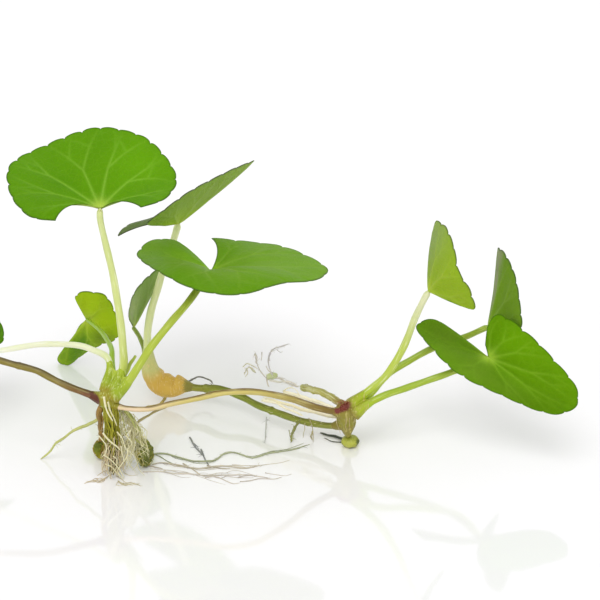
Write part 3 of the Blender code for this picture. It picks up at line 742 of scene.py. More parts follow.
def makeLeaf(node, leaf):
    teeth = leaf["teeth"]
    rays = teeth * leafShape["rays"]
    base = np.array(leaf["base"])
    rim = evenSteps(smoothRoute(leaf["rim"], 120), rays + 1)
    upperSide = unit(np.cross(rim[1:], rim[:-1]).sum(axis=0))
    reach = np.linalg.norm(rim, axis=1)
    heart = rim.mean(axis=0)
    inward = unit(heart - rim * ((rim @ heart) / reach ** 2)[:, None])
    uneven = evenly(np.arange(rays + 1) / rays, chance.uniform(*leafShape["uneven"], teeth * 2 + 1))

    def sheet(along, share):
        # The blade's middle surface at these shares of the way round and out.
        at, numbers = along * rays, np.arange(rays + 1)
        depth = np.interp(at, numbers, uneven) * leafShape["scallop"]
        notch = np.abs(np.sin(math.pi * teeth * along)) ** leafShape["scallopPower"] - 1.0
        far = np.interp(at, numbers, reach)
        out = share * (1.0 + notch * depth * share ** leafShape["scallopFade"] / far)
        lift = leaf["bow"] * 4.0 * share * (1.0 - share) * np.sin(math.pi * along)
        fade = np.maximum(0.0, 1.0 - np.minimum(along, 1.0 - along) / leafShape["hollowFade"])
        hollow = np.where(along < 0.5, *leaf["hollow"]) * fade * 4.0 * share * (1.0 - share)
        return (base + placesAt(at, numbers, rim) * out[..., None] + upperSide * lift[..., None]
                + placesAt(at, numbers, inward) * hollow[..., None])

    lines = veinLines(leaf)
    tree = treeOf(np.vstack([sheet(line[0], line[1]) for line in lines]))
    widths = np.concatenate([line[2] for line in lines])
    strengths = np.concatenate([line[3] for line in lines])

    innermost, closer = leafShape["ringShares"]
    share = 1.0 - (1.0 - np.linspace(innermost, 1.0, leafShape["rings"])) ** closer
    along, share = np.meshgrid(np.linspace(0.0, 1.0, rays + 1), share, indexing="ij")
    middle = sheet(along, share)
    near = np.zeros(along.shape)
    vein = np.zeros(along.shape)
    for at in np.ndindex(along.shape):
        _, i, distance = tree.find(middle[at])
        near[at] = distance
        vein[at] = strengths[i] * math.exp(-(distance / widths[i]) ** 2)
    inner, outer = leafShape["quiltEnds"]
    fade = np.clip(outer - share, 0.0, 1.0) * np.clip(share / inner, 0.0, 1.0)
    swell = leafShape["quilt"] * (1.0 - np.exp(-(near / leafShape["quiltReach"]) ** 2)) * fade
    normal = gridNormals(middle)
    if (normal * upperSide).sum() < 0:
        normal = -normal
    rayGap = np.linalg.norm(np.diff(rim, axis=0), axis=1).mean()
    toRim = np.minimum(np.minimum(along, 1.0 - along) * rays * rayGap * share, (1.0 - share) * reach[:, None])
    thick = np.interp(toRim, (0.0, leafShape["rimReach"]),
                      (leafShape["rimThickness"], leafShape["thickness"]))
    top = middle + normal * (thick / 2 + swell - leafShape["groove"] * vein)[..., None]
    low = middle + normal * (-thick / 2 + swell - leafShape["ridge"] * vein)[..., None]

    def spread(listed):
        total = np.zeros(along.shape)
        for a, s, wideAlong, wideShare, strong in listed:
            total += strong * np.exp(-((along - a) / wideAlong) ** 2 - ((share - s) / wideShare) ** 2)
        return np.clip(total, -0.8, 1.0)

    patchColour, patchSpots = leaf["patch"]
    rimDark, rimWidth = leafShape["rimTone"]
    # light holds the painted light and painted shade spots.
    tones = {"vein": vein, "rim": rimDark * np.exp(-(toRim / rimWidth) ** 2),
             "foot": np.exp(-(np.linalg.norm(middle - base, axis=-1) / leafShape["footReach"]) ** 2),
             "patch": np.maximum(spread(patchSpots), 0.0), "light": spread(leaf.get("light", ()))}

    rows, columns = along.shape
    up = np.arange(rows * columns).reshape(rows, columns)
    down = up + rows * columns
    i, j = np.meshgrid(np.arange(rows - 1), np.arange(columns - 1), indexing="ij")
    i, j = i.ravel(), j.ravel()
    upper = np.stack([up[i, j], up[i, j + 1], up[i + 1, j + 1], up[i + 1, j]], 1)
    under = np.stack([down[i, j], down[i + 1, j], down[i + 1, j + 1], down[i, j + 1]], 1)
    ring = [(0, c) for c in range(columns - 1)] + [(r, columns - 1) for r in range(rows - 1)]
    ring += [(rows - 1, c) for c in range(columns - 1, 0, -1)] + [(r, 0) for r in range(rows - 1, 0, -1)]
    border = np.array([(up[a], up[b], down[b], down[a]) for a, b in zip(ring, ring[1:] + ring[:1])])
    if np.dot(np.cross(top[1, 5] - top[0, 5], top[0, 6] - top[0, 5]), upperSide) > 0:
        upper, under, border = upper[:, ::-1], under[:, ::-1], border[:, ::-1]
    maker = Maker()
    maker.add(np.vstack([top.reshape(-1, 3), low.reshape(-1, 3)]), np.vstack([upper, border]),
              **{name: np.tile(tone.ravel(), 2) for name, tone in tones.items()})
    maker.add(np.zeros((0, 3)), under - maker.count, 1)
    name = pieceName(node)
    maker.build(node, [leafMaterial(name + "Upper", leaf["upper"], patchColour, 0.42, 0.04),
                                     leafMaterial(name + "Under", leaf["under"], patchColour, 0.5, 0.05)])


for node, leaf in leaves.items():
    makeLeaf(node, leaf)
print("leaves ready")


# Crowns, the bud, the clods and the clump: the middle, the half sizes, how much the lower end narrows,
# the ridges down the side and their depth as a share of the radius, and the material slot.
knobs = {
    "crown_front": ((-42.7, -4.9, 18.4), (2.4, 2.2, 2.7), 0.10, 5, 0.06, "crown_red"),
    "crown_back": ((-32.1, 26.6, 5.4), (3.2, 2.6, 2.7), -0.05, 4, 0.07, "crown_orange"),
    "crown_right": ((10.7, 4.1, 9.2), (2.4, 2.0, 3.8), 0.28, 6, 0.05, "crown_red"),
    "bud_right": ((11.6, 6.3, 1.35), (2.15, 1.9, 1.5), 0.0, 7, 0.03, "bud"),
    "clod_left": ((-45.2, 1.0, 2.3), (2.1, 1.9, 2.5), 0.05, 3, 0.16, "root_dark"),
    "clod_right": ((-35.2, -2.8, 3.4), (2.0, 2.0, 3.6), 0.10, 4, 0.15, "root_dark"),
    "root_clump": ((-41.8, -6.9, 7.2), (2.5, 2.1, 8.2), -0.06, 9, 0.09, "root"),
}
fullness = {"root_clump": 5.0, "crown_right": 2.6}    # the others are 2, an ellipsoid
ridgeTwist = 2.0
clearance = 0.3    # mm, between a stem's solid and the crown's


def knobPoints(name, columns, rows, bumps=0.0, grain=1.0):
    # A knob's surface as its solid has it, finer and with bumps that go inward.
    middle, half, narrowing, ridges, depth, _ = knobs[name]
    power = fullness.get(name, 2.0)
    angle = np.linspace(0.0, 2 * math.pi, columns, endpoint=False)
    z = np.cos(np.linspace(0.0, math.pi, rows))
    z, angle = np.meshgrid(z, angle, indexing="ij")
    width = np.sqrt(np.maximum(0.0, 1.0 - np.abs(z) ** power)) * (1.0 + narrowing * z)
    width = width * (1.0 + depth * np.cos(ridges * angle + ridgeTwist * z))
    local = np.stack([width * np.cos(angle), width * np.sin(angle), z], -1) * np.array(half)
    dents = np.array([noise.fractal(Vector(p * grain + 50.0), 1.0, 2.0, 4) for p in local.reshape(-1, 3)])
    shrink = 1.0 - bumps * np.clip(0.5 + dents, 0.0, 1.0).reshape(z.shape)
    return np.array(middle), local * shrink[..., None]


def nearness(points, spots):
    # How close each point is to the listed spots: a place, a radius and a strength.
    total = np.zeros(len(points))
    for place, reach, strong in spots:
        total += strong * np.exp(-(np.linalg.norm(points - np.array(place), axis=1) / reach) ** 2)
    return total[:, None]


def addKnob(maker, name, columns, rows, bumps, grain, slot=0, scale=1.0, spots=(), toneSpots=(), alongTo=1.0):
    # spots are where it is patched, which on the bud is painted shade, and toneSpots where it turns to its
    # other shade.
    middle, local = knobPoints(name, columns, rows, bumps, grain)
    local = local * scale
    places = (middle + local).reshape(-1, 3)
    height = np.clip(0.5 - local[..., 2].ravel() / (2 * knobs[name][1][2]), 0.0, 1.0)
    faces = [face[:1] + face[:0:-1] for face in ringFaces(rows, columns)]    # turned to face outward
    maker.add(places, faces, slot, tone=nearness(places, toneSpots), skin=local.reshape(-1, 3),
              patch=nearness(places, spots), along=alongTo * height[:, None])


def outsideKnobs(route, names, radius, inward):
    # The stretch of a route outside these knobs; inward lets it run on into them by as many mm.
    keep = np.ones(len(route), bool)
    for name in names:
        middle, half = knobs[name][:2]
        grown = np.array(half) + clearance + 0.5 * radius - inward
        keep &= np.linalg.norm((route - middle) / grown, axis=1) > 1.0
    return route[keep]


def wavy(route, amount, knots):
    # The same route with a gentle wander that leaves its ends in place.
    drift = smoothRoute(chance.normal(0.0, amount, (knots, 3)), 12)
    drift = evenSteps(drift, len(route))
    share = np.linspace(0.0, 1.0, len(route))[:, None]
    return route + drift * np.sin(math.pi * share) ** 0.5


def addScale(maker, foot, up, out, size, cup, slot, tone):
    # A thin papery scale: it stands up from its foot, bends outward and is cupped round the stem.
    width, height, bend = size
    up, out = unit(np.array(up, float)), np.array(out, float)
    out = unit(out - up * np.dot(out, up))
    side = np.cross(up, out)
    u, v = np.meshgrid(np.linspace(-1.0, 1.0, 15), np.linspace(0.0, 1.0, 18), indexing="ij")
    spread = width * (1.0 - v ** 2.2) ** 0.6 * (0.75 + 0.5 * v)
    frill = 0.06 * width * np.sin(7.0 * u + 5.0 * v)
    grid = (np.array(foot) + up * (height * v)[..., None] + side * (spread * u)[..., None]
            + out * (bend * v ** 2 - cup * u ** 2 * width + frill * v)[..., None])
    skin = np.stack([u * width, v * 0.0, v * height], -1)
    maker.shell(grid, 0.09, slot, along=v, tone=np.full(u.shape, tone), skin=skin)


def stemMaterial(name, colours, streaks, upper, gloss, relief=0.04, subsurface=0.1, patch="6e3020", edge=0.3):
    # Its colours are those of the foot, middle, tip, streaks and upper side. edge is where the upper side
    # begins: 0 is half way up the side and 1 the very top.
    labels = ("Foot Color", "Middle Color", "Tip Color", "Streak Color", "Upper Color", "Patch Color")
    values = {label: colour(code) for label, code in zip(labels, (*colours, patch))}
    values.update({"Streaks": streaks, "Upper": upper, "Gloss": gloss, "Upper Edge": edge})
    return newMaterial(name, stemSkin, values, ("Along", "Skin", "Patch"), relief, {
        "Subsurface Weight": subsurface, "Subsurface Radius": (0.7, 0.8, 0.2), "IOR": 1.42})


def rootMaterial(name, pale, dull, dirt, share):
    values = {"Pale Color": colour(pale), "Dull Color": colour(dull), "Dirt Color": colour(dirt),
              "Dirt": share, "Gloss": 0.45}
    return newMaterial(name, rootSkin, values, ("Tone", "Skin"), 0.06, {
        "Subsurface Weight": 0.15, "Subsurface Radius": (0.6, 0.5, 0.25), "IOR": 1.4})


# Stalks: the crown, the leaf, the radius at each end, and the route up to the leaf's base.
stalks = {
    "stalk_front_tall": ("crown_front", "leaf_front_tall", 1.0, 0.7, [
        (-41.5, -4.5, 20.0), (-40.0, -4.5, 23.0), (-39.0, -4.0, 26.5), (-39.0, -3.5, 31.5),
        (-39.5, -3.0, 38.0), (-40.5, -2.0, 46.5), (-42.0, -1.5, 54.5), (-43.0, -1.0, 60.0)]),
    "stalk_front_broad": ("crown_front", "leaf_front_broad", 0.95, 0.8, [
        (-41.2, -5.8, 19.8), (-38.4, -6.5, 22.8), (-35.5, -6.4, 27.5), (-32.6, -5.4, 32.0),
        (-28.6, -2.4, 36.1), (-24.6, 3.0, 38.8)]),
    "stalk_front_low": ("crown_front", "leaf_front_low", 0.9, 0.6, [
        (-42.3, -3.0, 19.4), (-41.9, 0.0, 21.8), (-42.4, 5.0, 23.0), (-43.0, 11.0, 23.0),
        (-45.0, 21.0, 20.5), (-48.0, 31.0, 18.0)]),
    "stalk_front_side": ("crown_front", "leaf_front_side", 0.85, 0.7, [
        (-43.2, -4.3, 20.5), (-42.7, -3.6, 22.7), (-42.2, -2.7, 25.1), (-43.0, -0.8, 26.8),
        (-46.0, 2.4, 26.9), (-50.5, 6.0, 26.5), (-58.0, 9.0, 25.0), (-64.5, 11.0, 23.0),
        (-69.5, 12.5, 21.5)]),
    "stalk_back_edge": ("crown_back", "leaf_back_edge", 0.95, 0.8, [
        (-33.0, 26.5, 6.0), (-35.3, 26.5, 8.5), (-36.0, 27.5, 12.5), (-36.0, 28.0, 18.0),
        (-35.0, 28.5, 23.5), (-33.5, 28.5, 29.0), (-31.5, 28.0, 36.5), (-29.5, 27.5, 42.0)]),
    "stalk_back_dark": ("crown_back", "leaf_back_dark", 0.7, 0.55, [
        (-33.0, 28.0, 5.0), (-35.0, 30.0, 6.5), (-36.8, 31.0, 10.0), (-37.3, 31.5, 13.0),
        (-38.2, 31.2, 15.8)]),
    "stalk_right_upright": ("crown_right", "leaf_right_upright", 0.95, 0.75, [
        (12.0, 4.2, 12.3), (16.5, 3.5, 17.0), (20.0, 3.0, 21.0), (23.0, 3.0, 27.0),
        (25.5, 3.5, 34.0), (27.5, 3.5, 39.0)]),
    "stalk_right_narrow": ("crown_right", "leaf_right_narrow", 0.9, 0.75, [
        (12.3, 5.4, 10.0), (16.5, 9.0, 12.5), (20.2, 12.0, 15.6), (24.2, 13.5, 18.0),
        (29.5, 15.0, 20.5), (34.5, 15.0, 22.6), (38.5, 14.0, 24.8)]),
    "stalk_right_folded": ("crown_right", "leaf_right_folded", 0.9, 0.75, [
        (12.6, 2.6, 10.9), (15.5, 2.7, 13.3), (19.5, 3.6, 15.0), (24.5, 5.3, 15.8),
        (30.5, 7.0, 17.4), (35.5, 8.0, 18.9), (39.5, 7.0, 21.0)]),
}
# How each looks: the colours at the foot, middle and tip, of the streaks and of the upper side, and its width
# against the solid's. Some have a brown band: where along it, how long and how strong.
stalkLooks = {
    "stalk_front_tall": (("b4c23c", "d0da88", "d0da90", "eef4c4", "bcc870"), 0.96),
    "stalk_front_broad": (("b2c244", "adbe3e", "96a83a", "d2de74", "9aa83c"), 0.96),
    "stalk_front_low": (("a0b830", "94b81a", "8eb40c", "b4cc50", "8cb40e"), 0.74),
    "stalk_front_side": (("c0cc64", "eaedc6", "f2f3da", "f6f6e6", "dce2b4"), 0.88),
    "stalk_back_edge": (("ccd67c", "e8efae", "dce6a0", "f6f8d8", "d4dc9c"), 1.0),
    "stalk_back_dark": (("a4b450", "8a9a44", "88a03c", "c0cf7c", "74883a"), 0.9),
    "stalk_right_upright": (("a8c01c", "bacb50", "dcddb4", "f2f5cc", "b0be64"), 0.96),
    "stalk_right_narrow": (("a8bc20", "a2b830", "9cb236", "ccdc78", "7c9c24"), 0.92),
    "stalk_right_folded": (("a8bc1c", "a2ba30", "a6bc44", "d0dc7c", "8aa42c"), 0.94),
}
stalkBands = {
    "stalk_front_tall": (0.995, 0.012, 0.5),
    "stalk_front_broad": (0.88, 0.07, 0.62),
    "stalk_back_edge": (0.25, 0.05, 0.2),
    "stalk_back_dark": (0.7, 0.2, 0.2),
}
stalkShape = {
    "step": 0.35,             # mm between rings
    "sides": 20,
    "ribs": 5,
    "ribDepth": 0.045,
    "wander": (0.1, 7),       # mm, and how many times
    "lumps": (0.035, 31.0, 9.0),
    "flare": (1.35, 0.06),    # times the radius at the crown, and over what share of the length
    "neck": (0.55, 0.012),    # the same where it meets the blade
    "inward": 0.9,            # mm that it runs on into its crown
    "twist": 1.6,
    "streaks": 0.55,
    "upper": 0.5,
    "gloss": 0.3,
    "band": "7c6a34",
}


def makeStalk(node, stalk):
    crown, leaf, low, high, points = stalk
    route = smoothRoute(points + [leaves[leaf]["base"]])
    route = outsideKnobs(route, (crown,), low, stalkShape["inward"])
    route = wavy(evenSteps(route, int(lengths(route)[-1] / stalkShape["step"])), *stalkShape["wander"])
    share = np.linspace(0.0, 1.0, 200)
    flare, flareEnd = stalkShape["flare"]
    neck, neckStart = stalkShape["neck"]
    lump, lumps, shift = stalkShape["lumps"]
    radii = np.interp(share, (0.0, 1.0), (low, high)) * (1.0 + lump * np.sin(share * lumps + low * shift))
    radii *= 1.0 + (flare - 1.0) * np.exp(-(share / flareEnd) ** 2)
    radii *= 1.0 - (1.0 - neck) * np.exp(-((1.0 - share) / neckStart) ** 2)
    colours, width = stalkLooks[node]
    band = (0.0, 0.0)
    if node in stalkBands:
        place, long, strong = stalkBands[node]
        band = strong * np.exp(-((share - place) / long) ** 2)
    maker = Maker()
    maker.tube(route, radii * width, stalkShape["sides"], stalkShape["ribs"], stalkShape["ribDepth"],
               twist=stalkShape["twist"], patch=band)
    finish = [stalkShape[name] for name in ("streaks", "upper", "gloss")]
    skin = stemMaterial(pieceName(node), colours, *finish, patch=stalkShape["band"], edge=0.2)
    maker.build(node, [skin])
    return route


stalkRoutes = {node: makeStalk(node, stalk) for node, stalk in stalks.items()}
print("stalks ready")


rootShape = {
    "step": 0.3,           # mm between rings
    "wave": 0.14,          # how far a strand wanders
    "waveLength": 1.6,     # mm, and how often
    "knobbly": 0.16,       # how uneven its thickness is
    "lumps": 15,
    "tip": (0.94, 0.6),    # from where on its end tapers, and by how much
    "fine": (0.06, 0.12),  # radii of the finer roots beside it
    "inward": 0.8,         # mm that it runs on into a crown or clod
}


def onFloor(route, radii):
    # Nothing sinks into the surface that the plant lies on.
    route = route.copy()
    route[:, 2] = np.maximum(route[:, 2], evenly(np.linspace(0.0, 1.0, len(route)), radii) * 1.02)
    return route


def strandRadii(first, last):
    share = np.linspace(0.0, 1.0, 60)
    lumps = evenly(share, chance.uniform(-1.0, 1.0, rootShape["lumps"]))
    radii = np.interp(share, (0.0, 1.0), (first, last)) * (1.0 + rootShape["knobbly"] * lumps)
    start, taper = rootShape["tip"]
    return radii * (1.0 - taper * np.clip((share - start) / 0.06, 0.0, 1.0))


def addStrand(maker, route, first, last, tone, slot=0, wave=rootShape["wave"], sides=8):
    route = np.asarray(route)
    long = lengths(route)[-1]
    route = wavy(evenSteps(route, max(6, int(long / rootShape["step"]))), wave,
                 max(4, int(long / rootShape["waveLength"])))
    radii = strandRadii(first, last)
    maker.tube(onFloor(route, radii), radii, sides, slot=slot, tone=tone)
    return route


# Runners and stubs: the radius at each end, the knobs that each stops at, the slot and the route.
runners = {
    "runner_left": (0.85, 0.75, ("crown_front",), "runner_olive", [
        (-43.5, -4.7, 18.2), (-48.5, -4.0, 20.0), (-54.0, -3.0, 22.0), (-59.5, -1.5, 24.0),
        (-67.0, 0.5, 25.5), (-72.0, 2.0, 26.5), (-77.5, 3.5, 27.0)]),
    "runner_front": (0.65, 0.9, ("crown_front", "crown_right"), "runner_pink", [
        (-42.0, -5.7, 17.5), (-38.0, -6.5, 17.0), (-33.5, -6.5, 17.0), (-28.5, -6.0, 18.0),
        (-22.0, -5.5, 19.0), (-16.0, -5.0, 20.0), (-10.5, -4.0, 19.8), (-6.5, -2.5, 18.2),
        (-2.0, -0.5, 16.1), (2.5, 1.5, 13.1), (7.0, 3.0, 11.1), (10.0, 4.0, 10.1)]),
    "runner_back": (0.9, 0.7, ("crown_back", "crown_right"), "runner_olive", [
        (-31.0, 26.3, 6.0), (-27.5, 25.5, 5.5), (-23.0, 24.5, 5.5), (-19.0, 22.5, 6.2),
        (-14.0, 20.0, 5.5), (-10.0, 17.0, 5.0), (-6.0, 14.0, 5.0), (-0.5, 10.5, 4.5),
        (3.5, 8.5, 4.6), (7.5, 6.0, 5.6), (10.2, 4.6, 7.0)]),
}
stubs = {
    "stub_right": (0.85, 0.7, ("crown_right",), "runner_olive", [
        (10.2, 5.2, 11.4), (8.0, 7.8, 11.5), (6.0, 10.0, 11.5), (3.5, 12.0, 11.5),
        (0.5, 14.5, 11.0)]),
    "sheath_front": (0.8, 0.3, ("crown_front",), "stalk", [
        (-41.0, -3.2, 19.5), (-39.4, -1.8, 22.0), (-38.2, -1.0, 24.5), (-36.6, -0.4, 27.0)]),
}
# Their colours as for the stalks, then how strongly they are streaked, how dark the upper side is and where
# it begins: 0 is half way up the side and 1 the very top.
runnerLooks = {
    "runner_left": (("74402a", "84762e", "8e823c", "aa9c58", "54461c"), 0.5, 0.95, 0.35),
    "runner_front": (("e8ceb0", "cebe6c", "7c6428", "e4d898", "6a4e22"), 0.5, 0.95, 0.58),
    "runner_back": (("9a9436", "84902a", "8a8e3a", "b4b85c", "5c5c20"), 0.6, 0.6, 0.5),
    "stub_right": (("8c6c34", "b2ac5c", "c6c68c", "dedcae", "8a8444"), 0.7, 0.6, 0.5),
    "sheath_front": (("b8c434", "b4c44c", "a8b848", "dde69a", "8c9c30"), 0.5, 0.4, 0.3),
}
runnerWidth = {"runner_front": 0.88, "stub_right": 1.1}    # the scene's against the solid's
runnerJoints = {    # swellings: where along it, and how much thicker
    "runner_left": ((0.55, 0.12),),
    "runner_front": ((0.02, 0.3), (0.42, 0.06)),
    "runner_back": ((0.16, 0.25), (0.58, 0.3), (0.8, 0.15)),
    "stub_right": ((0.3, 0.15), (0.72, 0.2)),
    "sheath_front": (),
}
runnerShape = {
    "step": 0.35,    # mm between rings
    "sides": 18,
    "ribs": 4,
    "ribDepth": 0.05,
    "wander": (0.12, 9),
    "lumps": (0.04, 40.0, 7.0),
    "jointLength": 0.012,
    "inward": 0.9,
    "twist": 2.4,
}
tornFibres = {
    "count": 14,
    "round": 0.85,             # where they stand, as a share of the radius
    "reach": (1.8, 3.2),       # mm
    "spread": (-0.3, 0.5),     # how far their tips bend inward or outward
    "radii": (0.13, 0.1, 0.04),
}
runnerRoot = ((138, 422), (148, 415), (158, 410), (169, 406))    # pixels
runnerRootDepths = (-4.5, -5.6)


def runnerRadii(first, last, joints):
    share = np.linspace(0.0, 1.0, 240)
    lump, lumps, shift = runnerShape["lumps"]
    radii = np.interp(share, (0.0, 1.0), (first, last)) * (1.0 + lump * np.sin(share * lumps + first * shift))
    for place, more in joints:
        radii *= 1.0 + more * np.exp(-((share - place) / runnerShape["jointLength"]) ** 2)
    return radii


def addTornFibres(maker, route, radius):
    # Torn fibres stand round the dried end.
    heading = unit(route[-1] - route[-6])
    count = tornFibres["count"]
    for k in range(count):
        turn = 2 * math.pi * k / count + chance.uniform(-0.2, 0.2)
        side = unit(np.cross(heading, (0.0, 0.0, 1.0)))
        around = side * math.cos(turn) + np.cross(heading, side) * math.sin(turn)
        start = route[-8] + around * radius * tornFibres["round"]
        far, bend = chance.uniform(*tornFibres["reach"]), chance.uniform(*tornFibres["spread"])
        tip = start + heading * far + around * bend
        fibre = wavy(evenSteps(np.array([start, (start + tip) / 2 + around * 0.1, tip]), 12), 0.12, 4)
        maker.tube(fibre, tornFibres["radii"], 5, tone=chance.uniform())


def makeRunner(node, runner):
    first, last, crowns, slotName, points = runner
    route = outsideKnobs(smoothRoute(points), crowns, first, runnerShape["inward"])
    route = wavy(evenSteps(route, int(lengths(route)[-1] / runnerShape["step"])), *runnerShape["wander"])
    maker = Maker()
    maker.tube(route, runnerRadii(first, last, runnerJoints[node]) * runnerWidth.get(node, 1.0),
               runnerShape["sides"], runnerShape["ribs"], runnerShape["ribDepth"],
               twist=runnerShape["twist"])
    if node == "stub_right":
        addTornFibres(maker, route, last)
    if node == "runner_front":
        # A slender root leaves the clump's right side and joins the runner from below.
        addStrand(maker, smoothRoute(traced(runnerRoot, runnerRootDepths)), 0.3, 0.22, 0.3, 1, 0.08, 10)
    colours, streaks, upper, edge = runnerLooks[node]
    name = pieceName(node)
    maker.build(node, [stemMaterial(name, colours, streaks, upper, 0.36, relief=0.06, edge=edge),
                                 rootMaterial(name + "Root", "b4a878", "8c8048", "5c5430", 0.4)])
    return route


runnerRoutes = {node: makeRunner(node, runner) for node, runner in {**runners, **stubs}.items()}
print("runners ready")


# Crowns: short thick joints that the stalks, runners and roots spring from, grown together from
#   knob: its columns, rows, the depth of its dents, their grain, and alongTo, how far its colour runs from
#     the foot's to the tip's,
#   collars and runners: the sheathing foot of each stalk and runner, how long it is and its radii,
#   body: a plump tube along a route, its radii, sides, ribs, their depth and twist, and its alongTo.
# rounds says how often they are smoothed, spots where they are patched, and webs are the thin skins between
# two stalks: how high they reach, by what share of that their free edge hangs, and how far they bulge.
crowns = {
    "crown_front": {
        "knob": (72, 48, 0.06, 0.8, 0.2),
        "collars": [("stalk_front_tall", 6.6, (1.9, 1.75, 1.5, 1.3, 1.14, 1.02, 0.85)),
                    ("stalk_front_broad", 6.2, (1.8, 1.6, 1.4, 1.22, 1.08, 0.98, 0.8)),
                    ("stalk_front_side", 6.8, (1.5, 1.4, 1.2, 1.05, 0.92, 0.8, 0.65)),
                    ("stalk_front_low", 5.0, (1.4, 1.2, 1.0, 0.6))],
        "runners": [("runner_left", 2.6, (1.5, 1.2, 0.95, 0.7), 0.0),
                    ("runner_front", 1.6, (1.2, 0.9, 0.5), 0.0)],
        "rounds": 5,
        "spots": [((-45.6, -6.0, 18.6), 1.2, 1.6), ((-45.0, -6.8, 17.0), 0.8, 1.0),
                  ((-47.6, -4.8, 19.4), 1.7, 1.8)],
        "webs": [("stalk_front_tall", "stalk_front_broad", 9.0, 0.45, 0.5),
                 ("stalk_front_side", "stalk_front_tall", 8.0, 0.4, 0.4),
                 ("stalk_front_low", "stalk_front_side", 9.0, 0.4, 0.3)],
        # The pale streak colours of the skin and the web are painted highlights.
        "skin": (("968a1c", "96aa1e", "a8bc2c", "dce49a", "90a41e"),
                 {"streaks": 0.6, "upper": 0.3, "gloss": 0.36, "relief": 0.09,
                  "patch": "5e2e16", "edge": 0.2}),
        "web": (("989e1c", "9cb022", "acbe38", "e4eaa4", "90a41e"),
                {"streaks": 0.75, "upper": 0.3, "gloss": 0.34, "relief": 0.08, "subsurface": 0.25}),
    },
    "crown_back": {
        "knob": (72, 48, 0.03, 0.5, 0.1),
        "collars": [("stalk_back_edge", 8.5, (2.5, 2.4, 2.1, 1.8, 1.5, 1.3, 0.85)),
                    ("stalk_back_dark", 4.0, (1.5, 1.2, 1.0, 0.6))],
        "runners": [("runner_back", 4.6, (2.3, 2.2, 1.9, 1.6, 1.3, 1.0, 0.7), 0.1)],
        "body": ([(-36.0, 26.7, 10.0), (-34.8, 26.5, 7.2), (-33.0, 26.4, 5.2), (-30.6, 26.2, 4.7),
                  (-28.4, 25.8, 5.1), (-26.6, 25.3, 5.6)], 12, 40,
                 (1.3, 2.0, 2.5, 2.55, 2.4, 1.9, 1.1), 30, 5, 0.02, 1.0, 0.0),
        "rounds": 30,
        "spots": [((-26.4, 25.2, 5.6), 1.8, 1.3), ((-31.2, 23.6, 2.6), 1.5, 0.7)],
        "webs": [("stalk_back_edge", "stalk_back_dark", 11.0, 0.35, 0.4)],
        "skin": (("d8b04c", "ccca80", "c4d088", "f0dca0", "c49c34"),
                 {"streaks": 0.5, "upper": 0.45, "gloss": 0.36, "relief": 0.06, "subsurface": 0.2,
                  "patch": "8c8434"}),
        "web": (("d0b850", "c8c87c", "c4d088", "eef0c4", "bcc868"),
                {"streaks": 0.6, "upper": 0.4, "gloss": 0.36, "relief": 0.06, "subsurface": 0.25}),
    },
    "crown_right": {
        "knob": (80, 64, 0.07, 0.7, 0.15),
        "collars": [(stalk, 5.2, (1.7, 1.55, 1.4, 1.26, 1.14, 1.04, 0.94, 0.8))
                    for stalk in ("stalk_right_upright", "stalk_right_narrow", "stalk_right_folded")],
        "runners": [(runner, reach, (1.45, 1.25, 1.0, 0.6), 0.0)
                    for runner, reach in (("runner_front", 2.0), ("runner_back", 3.0))],
        "body": ([(10.9, 4.2, 7.6), (10.9, 4.6, 5.4), (11.0, 5.2, 4.0), (11.2, 6.2, 2.9)], 10, 26,
                 (1.85, 1.65, 1.2, 0.8, 0.6), 26, 6, 0.08, 1.5, 0.1),
        "rounds": 4,
        "spots": [((10.0, 2.2, 13.4), 1.4, 2.0), ((9.8, 2.2, 12.2), 0.8, 0.9), ((11.8, 2.4, 10.8), 0.5, 0.9),
                  ((8.4, 2.6, 11.4), 1.0, 0.9)],
        "webs": [("stalk_right_upright", "stalk_right_narrow", 6.0, 0.4, 0.3),
                 ("stalk_right_narrow", "stalk_right_folded", 7.0, 0.4, 0.3)],
        "skin": (("8c8030", "a4b424", "a4c01c", "c8bc70", "7c702a"),
                 {"streaks": 0.8, "upper": 0.4, "gloss": 0.42, "relief": 0.12,
                  "patch": "722a1c", "edge": 0.2}),
        "web": (("b0b434", "a4c01c", "a0bc20", "d4e27c", "94ac24"),
                {"streaks": 0.6, "upper": 0.4, "gloss": 0.36, "relief": 0.06}),
    },
}
crownGrain = 0.13    # mm, how finely a crown's parts grow together
webThickness = 0.16
crownHairs = {
    "fuzz": 90,
    "turns": (3.0, 5.3),       # round the side, radians
    "heights": (0.55, 1.0),    # as a share of the knob's
    "reach": (0.35, 0.8),      # mm
    "radii": (0.075, 0.06, 0.02),
    "rootlets": 5,
    "rootletTurns": (3.4, 6.4),
    "rootletDrop": (2.5, 5.5),
}


def addCollar(maker, route, reach, radii, alongTo=1.0):
    # The first stretch of a stem, thickened, and run on a little way into the crown.
    route = route[lengths(route) <= reach]
    route = np.vstack([route[:1] - unit(route[1:2] - route[:1]) * 0.5, route])
    maker.tube(evenSteps(route, int(reach / 0.2)), radii, 22, 6, 0.05, twist=1.2, alongTo=alongTo)


def addWeb(maker, first, second, reach, dip, bulge):
    across, up = np.meshgrid(np.linspace(0.0, 1.0, 16), np.linspace(0.0, 1.0, 22), indexing="ij")
    at = up * reach * (1.0 - dip * np.sin(math.pi * across) ** 0.7)
    left, right = placesAt(at, lengths(first), first), placesAt(at, lengths(second), second)
    heading = unit((left + right)[8, -1] - (left + right)[8, 0])
    out = unit(np.cross(heading, right[8, 8] - left[8, 8]))
    out = out if out[1] < 0 else -out
    frill = 0.12 * np.sin(11.0 * across + 6.0 * up) * np.sin(math.pi * across)
    grid = (left * (1.0 - across)[..., None] + right * across[..., None]
            + out * (bulge * np.sin(math.pi * across) + frill)[..., None])
    maker.shell(grid, webThickness, 1, along=up, skin=np.stack([across * 3.0, frill, at], -1))


